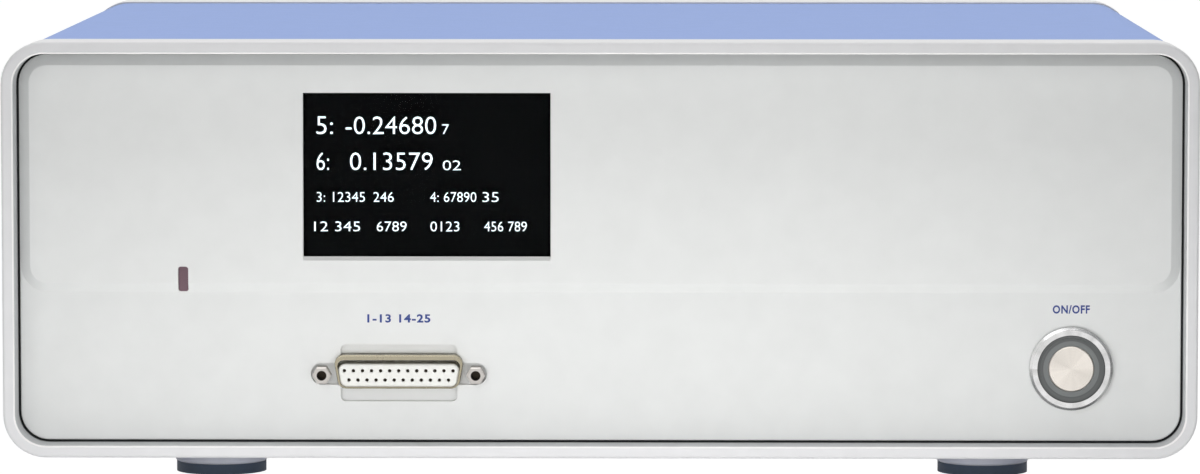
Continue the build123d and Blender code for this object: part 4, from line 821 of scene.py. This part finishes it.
class POTENTIOSTAT_OT_electronics(bpy.types.Operator):
    """Finish the boards and what stands on them, the transformer, the ribbons and the lead"""

    bl_idname = "potentiostat.electronics"
    bl_label = "Electronics"

    def execute(self, context):
        metals = context.scene.metal_finish
        plastics = context.scene.plastic_finish
        dress(self.solder_mask(plastics), "main_board", "screen_board", "connector_board")
        dress(drawn("sink_anodised", metals.anodised, 0.45, along="Y"), "heat_sink")
        dress(moulded("transistor_black", plastics.black, 0.5), "power_transistors")
        dress(moulded("relay_case", plastics.relay, 0.35), "relays")
        dress(moulded("capacitor_sleeve", plastics.sleeve, 0.25), "capacitors")
        dress(drawn("can_tin", metals.steel, 0.3, along="X"), "shield_can")
        dress(self.wound_tape(plastics), "transformer")
        dress(self.ribbed(plastics), "cell_ribbon", "screen_ribbon")
        dress(moulded("lead_sleeve", plastics.rubber, 0.55), "mains_lead")
        return {"FINISHED"}

    def solder_mask(self, plastics):
        """Green board with paler tracks under the mask."""
        material, tree, shader, spot = new_finish("solder_mask", plastics.board, 0.3)
        mask = (*plastics.board, 1)
        track = (*(c * 1.7 for c in plastics.board), 1)
        tracks = add_node(tree, "ShaderNodeTexBrick", {
            "Vector": spot, "Scale": 1 / 0.006, "Mortar Size": 0.06,
            "Color1": mask, "Color2": mask, "Mortar": track,
        })
        tree.links.new(tracks.outputs["Color"], shader.inputs["Base Color"])
        bump(tree, shader, tracks.outputs["Fac"], 0.00003)
        return material

    def wound_tape(self, plastics):
        """Yellow tape wound round the ring, each turn lapping the last, with painted shade where each turn
        lies low and a painted highlight where it rises to the lap.
        """
        turns = 36
        material, tree, shader, spot = new_finish("winding_tape", plastics.tape, 0.38)
        way = axes(tree, stretched(tree, spot, (1, 1, 1), middle_of("transformer")))
        angle = maths(tree, "ARCTAN2", way["Y"], way["X"])
        step = maths(tree, "FRACT", maths(tree, "MULTIPLY", angle, turns / math.tau))
        bump(tree, shader, step, 0.00015)
        # Painted light: the tone follows the laps' rise, darker low and lighter high.
        drift(tree, shader, plastics.tape, step, 0.12)
        return material

    def ribbed(self, plastics):
        """Ribbon cable whose wires run side by side along X, with a painted highlight on each wire's crest
        and painted shade in the grooves between.
        """
        pitch = 0.00127
        material, tree, shader, spot = new_finish("ribbon_grey", plastics.ribbon, 0.5)
        rib = maths(tree, "SINE", maths(tree, "MULTIPLY", axes(tree, spot)["X"], math.tau / pitch))
        bump(tree, shader, rib, 0.00015)
        # Painted light: the tone follows the ribs, lighter on each crest and darker in each groove.
        drift(tree, shader, plastics.ribbon, rib, 0.10)
        return material


class POTENTIOSTAT_PT_panel(bpy.types.Panel):
    """Lists the potentiostat's steps as buttons in the sidebar"""

    bl_idname = "POTENTIOSTAT_PT_panel"
    bl_label = "Potentiostat"
    bl_space_type = "VIEW_3D"
    bl_region_type = "UI"
    bl_category = "Potentiostat"

    def draw(self, context):
        for step in STEPS:
            self.layout.operator(step.bl_idname)


GROUPS = {
    "case_finish": CaseFinish,
    "screen_finish": ScreenFinish,
    "label_finish": LabelFinish,
    "metal_finish": MetalFinish,
    "plastic_finish": PlasticFinish,
    "stage_settings": StageSettings,
}
STEPS = (
    POTENTIOSTAT_OT_stage,
    POTENTIOSTAT_OT_case,
    POTENTIOSTAT_OT_screen,
    POTENTIOSTAT_OT_print,
    POTENTIOSTAT_OT_connector,
    POTENTIOSTAT_OT_button,
    POTENTIOSTAT_OT_feet,
    POTENTIOSTAT_OT_rear,
    POTENTIOSTAT_OT_fasteners,
    POTENTIOSTAT_OT_electronics,
)


def register():
    """Add the property groups, the operators and the panel."""
    for name, group in GROUPS.items():
        bpy.utils.register_class(group)
        setattr(bpy.types.Scene, name, PointerProperty(type=group))
    for step in (*STEPS, POTENTIOSTAT_PT_panel):
        bpy.utils.register_class(step)


def unregister():
    """Take them away again."""
    for step in (POTENTIOSTAT_PT_panel, *reversed(STEPS)):
        bpy.utils.unregister_class(step)
    for name, group in reversed(GROUPS.items()):
        delattr(bpy.types.Scene, name)
        bpy.utils.unregister_class(group)


def main():
    """Run every operator in order."""
    register()
    for step in STEPS:
        area, action = step.bl_idname.split(".")
        getattr(getattr(bpy.ops, area), action)()


if __name__ == "__main__":
    main()
